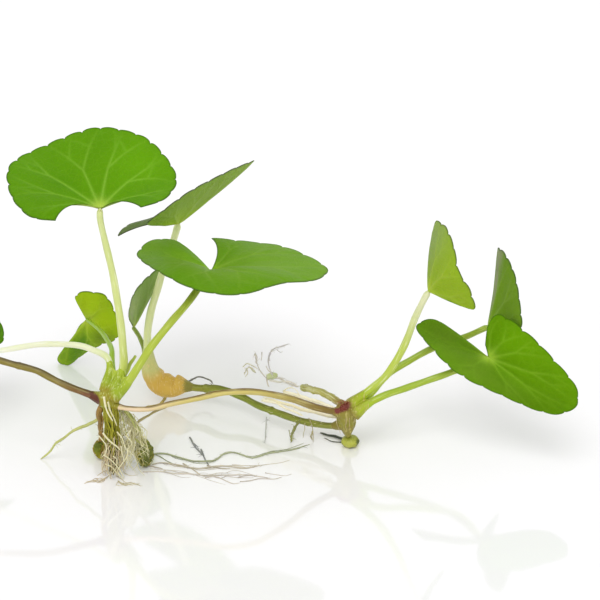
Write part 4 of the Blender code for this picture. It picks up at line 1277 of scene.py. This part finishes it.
def addCrownHairs(maker, middle, half):
    # Short soft hairs stand out from the crown's side, and a few thin pale rootlets cling to it.
    for _ in range(crownHairs["fuzz"]):
        around = chance.uniform(*crownHairs["turns"])
        height = chance.uniform(*crownHairs["heights"])
        out = np.array([math.cos(around), math.sin(around), 0.0])
        width = math.sqrt(max(0.1, 1.0 - height ** 2))
        start = middle + out * half * width * 0.95 + (0.0, 0.0, height * half[2])
        reach = chance.uniform(*crownHairs["reach"])
        tip = start + (out + (0.0, 0.0, height)) * reach + chance.normal(0.0, 0.2, 3)
        maker.tube(evenSteps(smoothRoute([start - out * 0.3, start, tip], 8), 7), crownHairs["radii"], 5,
                   slot=2, tone=chance.uniform())
    for _ in range(crownHairs["rootlets"]):
        around, drop = chance.uniform(*crownHairs["rootletTurns"]), chance.uniform(*crownHairs["rootletDrop"])
        out = np.array([math.cos(around), math.sin(around), 0.0])
        start = middle + out * half * 1.02 + (0.0, 0.0, chance.uniform(-0.5, 2.0))
        spots = [start, start - (0.0, 0.0, drop / 2), start - out * 0.9 - (0.0, 0.0, drop)]
        addStrand(maker, smoothRoute(spots, 8), 0.08, 0.04, chance.uniform(), 3, 0.12, 6)


def makeCrown(node, crown):
    maker = Maker()
    columns, rows, bumps, grain, alongTo = crown["knob"]
    addKnob(maker, node, columns, rows, bumps, grain, alongTo=alongTo)
    for stalk, reach, radii in crown["collars"]:
        addCollar(maker, stalkRoutes[stalk], reach, radii)
    for runner, reach, radii, alongTo in crown["runners"]:
        route = runnerRoutes[runner]
        addCollar(maker, route[::-1] if node == "crown_right" else route, reach, radii, alongTo)
    if "body" in crown:
        points, samples, steps, radii, sides, ribs, ribDepth, twist, alongTo = crown["body"]
        maker.tube(evenSteps(smoothRoute(points, samples), steps), radii, sides, ribs, ribDepth, twist=twist,
                   alongTo=alongTo)
    maker.fuse(crownGrain, crown["rounds"])
    maker.values["patch"] = [nearness(np.vstack(maker.points), crown["spots"])]
    for first, second, *web in crown["webs"]:
        addWeb(maker, stalkRoutes[first], stalkRoutes[second], *web)
    name = pieceName(node)
    materials = []
    for part, (colours, finish) in (("Skin", crown["skin"]), ("Web", crown["web"])):
        materials.append(stemMaterial(name + part, colours, **finish))
    if node == "crown_right":
        addCrownHairs(maker, np.array(knobs[node][0]), np.array(knobs[node][1]))
        materials.append(rootMaterial(name + "Fuzz", "b87c60", "985040", "5c3020", 0.3))
        materials.append(rootMaterial(name + "Hairs", "d8c8a0", "b8a070", "8c7448", 0.3))
    maker.build(node, materials)


# The bud under the right crown: where painted shade darkens it on its right and low down, its scales (how far
# round, and their tone), and two short roots on the surface: the radius at each end, the tone, the wander,
# the sides and the pixels.
bud = {
    "spots": [((13.5, 5.4, 1.5), 1.1, 0.95), ((9.5, 5.2, 0.7), 0.7, 0.8), ((11.8, 4.6, 0.0), 1.0, 0.8)],
    "scales": ((0.4, 0.2), (1.7, 0.6), (3.0, 0.9), (4.2, 0.4)),
    "scaleSize": (1.2, 1.9, -0.7),    # width, height and outward bend, mm
    "roots": [(0.34, 0.16, 0.9, 0.08, 9, ((347, 441), (340, 439), (334, 437), (328, 436), (320, 433))),
              (0.16, 0.08, 0.5, 0.1, 7, ((345, 443), (337, 442), (330, 441), (324, 438)))],
}


def makeBud():
    maker = Maker()
    addKnob(maker, "bud_right", 80, 56, 0.05, 0.8, spots=bud["spots"])
    middle, half = np.array(knobs["bud_right"][0]), knobs["bud_right"][1]
    for around, tone in bud["scales"]:
        out = np.array([math.cos(around) * half[0], math.sin(around) * half[1], 0.0])
        addScale(maker, middle + out * 0.8 - (0.0, 0.0, 0.7), out * -0.25 + (0.0, 0.0, 1.6), out,
                 bud["scaleSize"], 0.35, 1, tone)
    for first, last, tone, wave, sides, pixels in bud["roots"]:
        addStrand(maker, smoothRoute(traced(pixels)), first, last, tone, 2, wave, sides)
    maker.build("bud_right", [
        # budSkin's patch colour is the painted shade.
        stemMaterial("budSkin", ("90962c", "b4b848", "c8c460", "d8d880", "a4aa38"), 0.4, 0.5, 0.35,
                     relief=0.05, patch="56600f"),
        stemMaterial("budScales", ("747e20", "a0a632", "b0ae3c", "7c8424", "9ca030"), 0.4, 0.3, 0.35),
        rootMaterial("budRoot", "8c8c78", "4c544c", "30382c", 0.5),
    ])


for node, crown in crowns.items():
    makeCrown(node, crown)
makeBud()
print("crowns ready")


# Roots: the radius at each end, the knobs that each stops at, the slot and the route. Routes with
# z 0 lie on the surface.
roots = {
    "root_stem": (0.7, 0.45, ("crown_front", "clod_left"), "root_dark", [
        (-44.1, -5.6, 17.2), (-45.0, -5.0, 14.5), (-44.8, -3.4, 11.0), (-45.1, -1.2, 7.4),
        (-45.2, 0.6, 4.6)]),
    "root_side": (0.8, 0.6, ("crown_front", "clod_right"), "root", [
        (-41.3, -4.0, 16.8), (-38.9, -3.6, 14.5), (-37.4, -3.4, 12.0), (-36.2, -3.1, 9.0),
        (-35.4, -2.8, 6.0)]),
    "root_taper": (0.5, 0.25, (), "root", [
        (-45.0, -4.6, 13.4), (-46.0, -4.3, 12.4), (-47.8, -3.5, 11.2), (-51.9, -2.0, 8.2), (-55.4, -0.5, 4.5),
        (-57.9, 0.3, 1.1), (-59.2, 0.3, 0.0)]),
    "root_floor_long": (0.4, 0.3, ("clod_right",), "root_pale", [
        (-35.2, 0.0, 0.0), (-33.7, 2.0, 0.0), (-30.7, 2.5, 0.0), (-27.2, 0.5, 0.0),
        (-23.9, -0.9, 0.0), (-19.8, -0.5, 0.0), (-17.6, 2.3, 0.0), (-15.1, 3.2, 0.0),
        (-11.0, 0.9, 0.0), (-7.1, 2.7, 0.0), (-1.8, 4.6, 0.0), (2.2, 7.0, 0.0)]),
    "root_floor_mid": (0.35, 0.25, ("clod_right",), "root_pale", [
        (-33.5, -2.2, 0.0), (-31.2, -1.4, 0.0), (-27.2, -2.7, 0.0), (-22.7, -3.8, 0.0),
        (-17.7, -3.1, 0.0), (-12.5, -3.8, 0.0), (-8.6, -2.3, 0.0)]),
    "root_floor_near": (0.35, 0.25, ("clod_right", "root_clump"), "root_pale", [
        (-35.5, -5.6, 0.0), (-31.0, -5.4, 0.0), (-27.1, -6.3, 0.0), (-19.1, -7.1, 0.0),
        (-12.8, -6.7, 0.0), (-6.7, -8.2, 0.0)]),
    "root_floor_cross": (0.3, 0.2, (), "root_pale", [
        (-25.6, 10.1, 0.0), (-24.0, 5.5, 0.0), (-22.0, 1.6, 0.0)]),
    "root_foot_left": (0.4, 0.2, ("root_clump",), "root_pale", [
        (-43.5, -8.0, 0.0), (-44.8, -9.6, 0.0), (-46.5, -9.2, 0.0), (-48.3, -10.6, 0.0)]),
    "root_foot_right": (0.4, 0.2, ("root_clump",), "root_pale", [
        (-40.8, -9.6, 0.0), (-39.6, -11.2, 0.0), (-37.4, -10.8, 0.0), (-35.6, -11.6, 0.0)]),
    "root_straw": (0.6, 0.35, ("crown_right",), "root_pale", [
        (9.8, 5.3, 8.0), (6.0, 8.2, 7.3), (2.0, 10.2, 7.2), (-2.0, 12.0, 7.2),
        (-5.0, 14.0, 7.4), (-8.5, 16.5, 7.2)]),
    "root_thread_right": (0.35, 0.2, (), "root", [
        (2.9, 7.9, 3.1), (2.6, 8.2, 1.8), (2.8, 8.6, 0.3)]),
    "root_thread_mid": (0.35, 0.2, (), "root", [
        (-1.2, 9.9, 3.1), (-1.7, 8.6, 1.9), (-2.0, 7.6, 0.3)]),
    "root_thread_left": (0.3, 0.2, (), "root_pale", [
        (-7.8, 13.8, 3.6), (-7.9, 13.2, 2.2), (-8.0, 11.0, 0.6), (-8.1, 7.5, 0.2)]),
    "root_under_back": (0.6, 0.3, ("crown_back",), "root", [
        (-31.6, 26.6, 4.0), (-32.6, 26.2, 1.4), (-34.2, 25.2, 0.0), (-37.0, 24.6, 0.0)]),
    "root_loop_back": (0.25, 0.2, (), "root_dark", [
        (-26.7, 27.4, 5.6), (-25.4, 30.0, 4.9), (-23.5, 31.0, 4.8), (-21.6, 30.0, 4.7),
        (-21.0, 28.0, 4.6)]),
    "root_dry_main": (0.35, 0.2, (), "root_pale", [
        (-0.4, 15.2, 10.9), (-2.5, 17.0, 10.5), (-5.0, 19.0, 11.0), (-7.5, 20.0, 10.5),
        (-9.0, 21.0, 11.2), (-10.0, 22.0, 12.8), (-10.6, 22.6, 15.6)]),
    "root_dry_tall": (0.25, 0.2, (), "root_pale", [
        (-6.4, 18.9, 11.9), (-7.1, 19.5, 13.4), (-7.5, 20.0, 15.5), (-6.5, 20.5, 17.5),
        (-2.5, 21.0, 19.0)]),
    "root_dry_low": (0.25, 0.2, (), "root_pale", [
        (-10.4, 21.0, 11.4), (-12.0, 22.5, 12.2), (-13.2, 24.0, 9.4)]),
}
# How each looks: its three shades and how much of it is dirty, its width against the solid's, how many
# finer roots run beside it, and how far off.
rootLooks = {
    "root_stem": (("ac8848", "8c7428", "5c4418", 0.45), 1.0, 4, 0.5),
    "root_side": (("bcc070", "98a044", "6c6c30", 0.45), 0.7, 6, 0.8),
    "root_taper": (("ccd084", "a8ac54", "787c40", 0.35), 0.85, 1, 0.5),
    "root_floor_long": (("b8bc98", "949a7c", "6a6e5c", 0.45), 0.52, 3, 0.8),
    "root_floor_mid": (("d4cab4", "b0a694", "847c70", 0.4), 0.45, 4, 1.1),
    "root_floor_near": (("dcd4c6", "bab0a4", "8c847c", 0.4), 0.42, 4, 1.4),
    "root_floor_cross": (("9c9c98", "787c7c", "50585c", 0.5), 0.7, 1, 0.5),
    "root_foot_left": (("d8ccac", "b8a480", "8c7454", 0.4), 0.42, 4, 0.9),
    "root_foot_right": (("d4ccac", "b4a880", "847454", 0.4), 0.42, 4, 0.9),
    "root_straw": (("fdf4d8", "e8dcb4", "b8a878", 0.25), 0.75, 4, 0.9),
    "root_thread_right": (("c4bc94", "988c5c", "686040", 0.4), 0.6, 3, 0.5),
    "root_thread_mid": (("a4a468", "7c8040", "505430", 0.5), 0.95, 4, 0.5),
    "root_thread_left": (("ccccc8", "b4b4b0", "90908c", 0.35), 0.5, 1, 0.4),
    "root_under_back": (("c8b868", "a0904c", "605830", 0.4), 0.7, 3, 0.7),
    "root_loop_back": (("8c8a80", "686860", "44443c", 0.4), 0.85, 0, 0.3),
    "root_dry_main": (("ece6de", "d0c6ba", "9c948c", 0.35), 0.62, 3, 0.7),
    "root_dry_tall": (("e4dedc", "ccc6c4", "a49e9e", 0.4), 0.66, 2, 0.4),
    "root_dry_low": (("ece6d0", "d6ceb0", "a8a088", 0.4), 0.7, 3, 0.6),
}
# Finer strands that the photograph shows beside them: the radius, the tone, the depths (y of both ends, or
# None on the surface) and the pixels that each passes through.
tracedStrands = {
    "root_stem": [
        (0.22, 0.0, (-5.6, -4.0), ((99, 402), (101, 412), (103, 422), (101, 432))),
        (0.18, 0.1, (-4.5, -3.0), ((101, 432), (105, 440), (107, 448), (105, 453)))],
    "root_side": [
        (0.3, 0.1, (-5.4, -4.4), ((121, 405), (127, 413), (133, 422), (137, 432))),
        (0.2, 0.3, (-5.0, -4.8), ((119, 408), (122, 418), (125, 428), (128, 438), (126, 448))),
        (0.18, 0.0, (-4.8, -4.6), ((134, 438), (138, 441), (142, 444), (147, 447)))],
    "root_floor_long": [
        (0.13, 0.8, None, ((150, 453), (160, 457), (166, 461), (173, 464), (181, 466))),
        (0.15, 0.2, None, ((196, 462), (206, 461), (215, 461))),
        (0.09, 0.6, None, ((258, 457), (270, 452), (285, 450), (297, 446), (304, 443)))],
    "root_floor_mid": [
        (0.16, 0.9, None, ((207, 466), (215, 468), (222, 469), (231, 469))),
        (0.08, 0.2, None, ((232, 465), (250, 466), (265, 465), (280, 463), (290, 460))),
        (0.14, 0.3, None, ((183, 464), (193, 470), (200, 475), (206, 477))),
        (0.15, 0.9, None, ((145, 466), (153, 467), (163, 469)))],
    "root_floor_cross": [
        (0.2, 0.6, None, ((201, 450), (204, 456), (206, 461), (209, 466)))],
    "root_floor_near": [
        (0.14, 0.4, None, ((205, 478), (215, 477), (222, 479), (228, 482), (233, 484), (240, 483))),
        (0.12, 0.9, None, ((238, 478), (245, 476), (256, 476))),
        (0.11, 0.7, None, ((240, 482), (250, 481), (260, 479), (275, 479), (282, 477))),
        (0.08, 0.4, None, ((265, 473), (275, 475), (285, 476), (292, 474))),
        (0.07, 0.3, None, ((150, 469), (165, 470), (185, 472), (200, 477), (215, 482), (226, 485)))],
    "root_foot_left": [
        (0.09, 0.3, None, ((112, 474), (106, 478), (103, 482), (97, 483))),
        (0.08, 0.7, None, ((108, 470), (101, 473), (97, 476)))],
    "root_foot_right": [
        (0.1, 0.4, None, ((116, 476), (122, 480), (126, 483), (132, 482))),
        (0.08, 0.2, None, ((124, 473), (130, 476), (138, 475)))],
    "root_straw": [
        (0.46, 0.0, (15.0, 6.0), ((284, 392), (300, 396), (316, 401), (335, 408))),
        (0.2, 0.1, (15.2, 7.0), ((290, 395), (304, 399), (320, 404), (334, 409))),
        (0.36, 0.1, (14.0, 9.0), ((262, 400), (275, 403), (285, 408), (296, 412), (303, 416))),
        (0.4, 0.0, (8.0, 6.0), ((308, 409), (322, 413), (333, 416))),
        (0.14, 0.4, (15.0, 11.0), ((283, 391), (289, 388), (296, 390), (300, 396)))],
    "root_thread_right": [
        (0.1, 0.2, (8.5, 8.5), ((305, 423), (304, 430), (303, 438))),
        (0.12, 0.5, (8.0, 8.0), ((309, 418), (312, 426), (313, 436), (313, 443)))],
    "root_thread_mid": [
        (0.34, 0.8, (9.8, 9.2), ((301, 419), (296, 426), (294, 432))),
        (0.1, 0.3, (9.5, 8.5), ((289, 430), (291, 440), (292, 448), (291, 457)))],
    "root_dry_main": [
        (0.32, 0.2, (22.4, 22.8), ((255, 354), (256, 359), (257, 364))),
        (0.2, 0.9, (20.0, 19.0), ((267, 377), (267, 382), (269, 387))),
        (0.28, 0.1, (19.0, 14.5), ((270, 380), (279, 382), (290, 382), (299, 387))),
        (0.14, 0.3, (22.0, 22.2), ((262, 352), (262, 356), (261, 361))),
        (0.12, 0.5, (20.5, 19.5), ((266, 366), (268, 370), (271, 374), (270, 380)))],
    "root_dry_tall": [
        (0.26, 0.5, (20.2, 20.0), ((270, 353), (269, 357), (270, 361))),
        (0.1, 0.2, (20.4, 21.0), ((277, 350), (280, 353), (283, 351)))],
    "root_dry_low": [
        (0.16, 0.2, (23.4, 22.0), ((243, 367), (247, 364), (253, 366), (258, 369))),
        (0.15, 0.6, (23.9, 23.4), ((246, 368), (248, 373), (245, 377)))],
}
hairs = {
    "radii": (0.045, 0.04, 0.02),
    "perLength": 1.2,        # how many to each mm of a strand
    "reach": (0.6, 1.8),     # mm
    "runnerReach": (0.8, 2.4),
    "runnerSteps": (-60, -6),    # the stretch of the back runner that has them, by its steps
    "runnerCount": 60,
}
leafBit = {
    "pixels": ((267, 378), (279, 374)),
    "depths": (19.4, 18.6),
    "out": (0.1, -1.0, 0.3),
    "size": (0.95, 2.9, 0.4),    # width, height and outward bend, mm
    "cup": 0.4,
}


def addFineRoots(maker, route, count, spread, flat):
    # Finer roots leave the strand, run along beside it and part from it at their tips.
    low, high = rootShape["fine"]
    for _ in range(count):
        begin, end = sorted(chance.uniform(0.0, 1.0, 2))
        end = min(1.0, max(end, begin + 0.35))
        begin = min(begin, end - 0.35)
        part = route[int(begin * (len(route) - 1)):int(end * (len(route) - 1)) + 1]
        if len(part) < 6:
            continue
        heading = unit(part[-1] - part[0])
        tilt = 0.0 if flat else chance.normal(0.0, 0.6)
        side = unit(np.cross(heading, (0.0, 0.0, 1.0)) + np.array([0.0, 0.0, tilt]))
        share = np.linspace(0.0, 1.0, len(part))[:, None]
        bow = np.sin(math.pi * share * chance.uniform(0.5, 1.0)) * chance.choice((-1.0, 1.0)) * spread
        addStrand(maker, part + side * bow * chance.uniform(0.4, 1.0), chance.uniform(low, high), low * 0.6,
                  chance.uniform(), wave=spread * 0.22, sides=6)


def addHairs(maker, route, count, reach, flat, slot=0):
    # Root hairs: short, very thin and curled, all along a strand.
    for _ in range(count):
        start = route[int(chance.integers(0, len(route)))]
        way = unit(chance.normal(0.0, 1.0, 3)) * (1.0, 1.0, 0.1 if flat else 0.8)
        turn = unit(chance.normal(0.0, 1.0, 3)) * (1.0, 1.0, 0.1 if flat else 0.8)
        far = chance.uniform(*reach)
        spots = [start, start + way * far * 0.4, start + way * far * 0.8 + turn * far * 0.35]
        maker.tube(onFloor(evenSteps(smoothRoute(spots, 8), 9), hairs["radii"]), hairs["radii"], 5,
                   slot=slot, tone=chance.uniform())


def addLeafBit(maker):
    # A scrap of dried green blade hangs among the wisps.
    foot, tip = traced(leafBit["pixels"], leafBit["depths"])
    addScale(maker, foot, np.array(tip) - foot, leafBit["out"], leafBit["size"], leafBit["cup"], 1, 0.3)


def makeRoot(node, root):
    first, last, ends, slotName, points = root
    shades, width, fineCount, spread = rootLooks[node]
    route = outsideKnobs(smoothRoute(points), ends, first, rootShape["inward"])
    flat = all(point[2] == 0.0 for point in points)
    if flat:
        route[:, 2] = 0.0
    maker = Maker()
    main = addStrand(maker, route, first * width, last * width, 0.35, sides=10)
    addFineRoots(maker, route, fineCount, spread, flat)
    for radius, tone, depths, pixels in tracedStrands.get(node, ()):
        spots = evenSteps(smoothRoute(traced(pixels, depths), 12), 24)
        addStrand(maker, spots, radius, radius * 0.6, tone, wave=0.07)
    addHairs(maker, main, int(lengths(main)[-1] * hairs["perLength"]), hairs["reach"], flat)
    if node == "root_straw":
        begin, end = hairs["runnerSteps"]
        stretch = runnerRoutes["runner_back"][begin:end]
        addHairs(maker, stretch, hairs["runnerCount"], hairs["runnerReach"], False)
    if node == "root_dry_main":
        addLeafBit(maker)
    name = pieceName(node)
    maker.build(node, [
        rootMaterial(name, *shades),
        stemMaterial(name + "Green", ("d0d4a8", "ccd4a4", "c4cc94", "e6ead0", "bcc48c"), 0.5, 0.3, 0.4)])


for node, root in roots.items():
    makeRoot(node, root)
print("roots ready")


# The clump: strands that hang from the front crown, dense and green above, wiry and tan below, with a
# loose net over to the right, round a dark middle that is painted shade between the strands. The leading
# ones follow the photograph: each is listed by its radius, its tone and the pixels it passes through.
clump = {
    # The dark middle is painted shade, seen in the gaps between the strands.
    "core": (0.5, 0.5, 0.93),        # the dark middle's size, as a share of the clump's
    "crown": (-42.3, -5.6, 17.2),    # where the strands leave the crown, and how far round it
    "crownReach": 1.4,
    "strands": {    # the material, how many, the radii and how far they wander
        "green": (0, 84, (0.09, 0.2), 0.14),
        "tan": (1, 64, (0.06, 0.13), 0.34),
        "net": (3, 104, (0.05, 0.12), 0.42),
    },
    # From which height to which the strands run, as shares of the clump's, how far they turn round it, and
    # how far out they are at both ends, as shares of its radius. greenReach draws some green ones inward.
    "green": {"top": 0.84, "foot": (0.3, 0.62), "turn": 0.4, "start": 0.75, "end": 0.9},
    "tan": {"top": (0.4, 0.75), "foot": (0.0, 0.12), "turn": 0.9, "start": (0.3, 0.85), "end": (0.5, 1.3)},
    "greenReach": (0.45, 1.0),
    "netStarts": (0.8, 0.45),    # along what share of the side root, and how far off it, mm
    "netKnots": (0.3, 0.55, 0.8),
    "netWander": 0.8,
    "netEnds": ((-41.5, -33.8), (-9.0, -1.5), (0.15, 6.5)),    # where the net's strands end: x, y and z
    "hairs": (90, (1.0, 3.2)),   # how many, and their lengths, mm
    "depth": -8.9,           # y of the leading strands, mm
    "leading": [
        (0.24, 0.0, ((104, 397), (105, 404), (107, 411), (110, 417), (113, 421))),
        (0.2, 0.5, ((108, 402), (110, 410), (114, 418), (117, 426))),
        (0.24, 0.1, ((103, 433), (107, 438), (111, 442), (116, 446), (120, 450))),
        (0.18, 0.2, ((117, 432), (122, 438), (124, 444), (127, 451))),
        (0.16, 0.1, ((99, 436), (103, 441), (106, 446), (106, 453), (102, 457))),
        (0.16, 0.2, ((104, 455), (110, 459), (116, 465), (121, 472), (124, 479))),
        (0.14, 0.0, ((128, 448), (127, 457), (122, 464), (118, 471), (121, 477))),
        (0.14, 0.3, ((105, 464), (112, 467), (118, 474), (123, 481))),
        (0.12, 0.0, ((121, 446), (122, 453), (124, 460), (121, 466))),
        (0.12, 0.1, ((113, 456), (117, 460), (116, 468), (112, 474))),
        (0.1, 0.0, ((131, 430), (127, 436), (132, 443), (128, 450), (134, 456))),
    ],
}


def clumpSpot(around, share, height):
    # A spot in the clump: share 0 is its middle line and 1 its surface, height 0 the floor, 1 the top.
    middle, half, narrowing, ridges, depth, _ = knobs["root_clump"]
    z = (height * (middle[2] + half[2]) - middle[2]) / half[2]
    width = math.sqrt(max(0.0, 1.0 - abs(z) ** fullness["root_clump"])) * (1.0 + narrowing * z)
    width *= 1.0 + depth * math.cos(ridges * around + ridgeTwist * z)
    return np.array([middle[0] + half[0] * width * share * math.cos(around),
                     middle[1] + half[1] * width * share * math.sin(around), middle[2] + half[2] * z])


def addClumpStrand(maker, kind, radius, slot, wave):
    around = chance.uniform(0.0, 2 * math.pi)
    way = clump[kind]
    if kind == "green":
        top, start, end = way["top"], way["start"], way["end"]
        foot, turn = chance.uniform(*way["foot"]), chance.normal(0.0, way["turn"])
        out = np.array([math.cos(around), math.sin(around), 0.0])
        leave = np.array(clump["crown"]) + clump["crownReach"] * out
        spots = [leave, (leave + clumpSpot(around, 0.8, top)) / 2]
    else:
        top, foot = chance.uniform(*way["top"]), chance.uniform(*way["foot"])
        turn = chance.normal(0.0, way["turn"])
        start, end, spots = chance.uniform(*way["start"]), chance.uniform(*way["end"]), []
    reach = chance.uniform(*clump["greenReach"])
    for s in np.linspace(0.0, 1.0, 7):
        share = (start + (end - start) * s) * (reach if kind == "green" else 1.0)
        spots.append(clumpSpot(around + turn * s, share, top + (foot - top) * s))
    addStrand(maker, smoothRoute(spots, 12), radius, radius * 0.5, chance.uniform(), slot, wave, 6)


def addNetStrand(maker, sideRoute, radius, slot, wave):
    along, off = clump["netStarts"]
    start = sideRoute[int(chance.integers(0, int(len(sideRoute) * along)))] + chance.normal(0.0, off, 3)
    end = np.array([chance.uniform(*limits) for limits in clump["netEnds"]])
    spots = [start]
    for s in clump["netKnots"]:
        spots.append(start * (1.0 - s) + end * s + chance.normal(0.0, clump["netWander"], 3))
    spots.append(end)
    addStrand(maker, smoothRoute(spots, 14), radius, radius * 0.5, chance.uniform(), slot, wave, 6)


def makeClump():
    maker = Maker()
    # The dark middle: painted shade in the gaps between the strands.
    addKnob(maker, "root_clump", 40, 60, 0.35, 0.6, slot=2, scale=np.array(clump["core"]))
    sideRoute = evenSteps(smoothRoute(roots["root_side"][4]), 60)
    for kind, (slot, count, radii, wave) in clump["strands"].items():
        for _ in range(count):
            radius = chance.uniform(*radii)
            if kind == "net":
                addNetStrand(maker, sideRoute, radius, slot, wave)
            else:
                addClumpStrand(maker, kind, radius, slot, wave)
    for radius, tone, pixels in clump["leading"]:
        spots = np.array(traced(pixels, (clump["depth"], clump["depth"])))
        spots[:, 2] = np.maximum(spots[:, 2], radius)
        addStrand(maker, smoothRoute(spots, 12), radius, radius * 0.6, tone, 3, 0.05, 9)
    stem = evenSteps(smoothRoute([clump["crown"], clumpSpot(4.7, 0.8, 0.5), clumpSpot(4.7, 0.8, 0.1)]), 60)
    addHairs(maker, stem + (0.0, 0.8, 0.0), *clump["hairs"], False, 3)
    maker.build("root_clump", [
        rootMaterial("clumpGreen", "b4b034", "848012", "54500c", 0.4),
        rootMaterial("clumpTan", "ecdebc", "c8b488", "8c7448", 0.3),
        rootMaterial("clumpCore", "5c5c1c", "4a4a14", "2c2c0c", 0.6),
        rootMaterial("clumpPale", "eee8c0", "cac48c", "9c9860", 0.3),
    ])


makeClump()


# Clods: lumps of old root and soil with strands wrapped round them. Their shades, the strands' shades and
# how many, and where the lump turns from its first shade to its second.
clods = {
    "clod_left": (("647214", "b4a818", "2a340c", 0.45), ("c4b038", "8c5c24", "5c2c14", 0.4), 30,
                  ((-46.0, -0.6, 0.6), 1.6, 1.0)),
    "clod_right": (("7c8430", "586018", "242c0c", 0.6), ("ccc058", "948c34", "44441c", 0.35), 44,
                   ((-34.6, -3.8, 2.6), 1.6, 1.0)),
}
wraps = {
    "arc": (0.8, 2.6),        # how far round the lump a strand runs, radians
    "lean": (-0.5, 0.5),
    "start": (0.78, 0.9),     # how far out it starts and ends, as a share of the lump's size
    "end": (0.85, 1.12),
    "radii": (0.07, 0.18),
    "lowest": 0.12,           # mm above the surface
}


def makeClod(node, clod):
    lumpShades, strandShades, count, toneSpot = clod
    maker = Maker()
    addKnob(maker, node, 64, 48, 0.16, 1.3, toneSpots=[toneSpot])
    middle, half = np.array(knobs[node][0]), np.array(knobs[node][1])
    for _ in range(count):
        axis = unit(chance.normal(0.0, 1.0, 3))
        first = unit(np.cross(axis, chance.normal(0.0, 1.0, 3)))
        second = np.cross(axis, first)
        turn = np.linspace(0.0, chance.uniform(*wraps["arc"]), 16)[:, None]
        ring = unit(first * np.cos(turn) + second * np.sin(turn) + axis * chance.uniform(*wraps["lean"]))
        far = np.linspace(chance.uniform(*wraps["start"]), chance.uniform(*wraps["end"]), 16)
        spots = middle + ring * far[:, None] * half
        spots[:, 2] = np.maximum(spots[:, 2], wraps["lowest"])
        addStrand(maker, spots, chance.uniform(*wraps["radii"]), 0.05, chance.uniform(), 1, 0.12, 6)
    name = pieceName(node)
    maker.build(node, [rootMaterial(name + "Lump", *lumpShades),
                                    rootMaterial(name + "Strands", *strandShades)])


for node, clod in clods.items():
    makeClod(node, clod)
print("clump and clods ready")


# The stage: a pale glossy floor, one wide soft light from above and in front, and a white surround.
stage = {
    "floorSize": 6.0,          # metres
    "floorColour": (0.945, 0.935, 0.95, 1.0),
    "floorRoughness": 0.07,
    "floorIndex": 2.05,        # how strongly the floor mirrors
    "surround": 0.86,
    "lightTilt": (33.0, -8.0),  # degrees from upright, toward the viewer and to the left
    "lightSoftness": 34.0,      # degrees across
    "lightPower": 1.15,
    "lightPlace": (-0.1, -0.5, 0.8),    # metres; only its tilt matters to the picture
}


def setStage():
    half = stage["floorSize"] / 2
    mesh = bpy.data.meshes.new("floor")
    corners = [(-half, -half, 0), (half, -half, 0), (half, half, 0), (-half, half, 0)]
    mesh.from_pydata(corners, [], [(0, 1, 2, 3)])
    material = bpy.data.materials.new("floor")
    material.use_nodes = True
    shader = material.node_tree.nodes["Principled BSDF"]
    shader.inputs["Base Color"].default_value = stage["floorColour"]
    shader.inputs["Roughness"].default_value = stage["floorRoughness"]
    shader.inputs["IOR"].default_value = stage["floorIndex"]
    mesh.materials.append(material)
    floor = bpy.data.objects.new("floor", mesh)
    bpy.context.scene.collection.objects.link(floor)

    lamp = bpy.data.lights.new("softLight", "SUN")
    lamp.angle = math.radians(stage["lightSoftness"])
    lamp.energy = stage["lightPower"]
    light = bpy.data.objects.new("softLight", lamp)
    light.location = stage["lightPlace"]
    light.rotation_euler = [math.radians(turn) for turn in (*stage["lightTilt"], 0.0)]
    bpy.context.scene.collection.objects.link(light)

    world = bpy.data.worlds.new("surround")
    world.use_nodes = True
    world.node_tree.nodes["Background"].inputs["Color"].default_value = (1.0, 1.0, 1.0, 1.0)
    world.node_tree.nodes["Background"].inputs["Strength"].default_value = stage["surround"]
    bpy.context.scene.world = world
    bpy.context.scene.view_settings.view_transform = "Standard"


setStage()
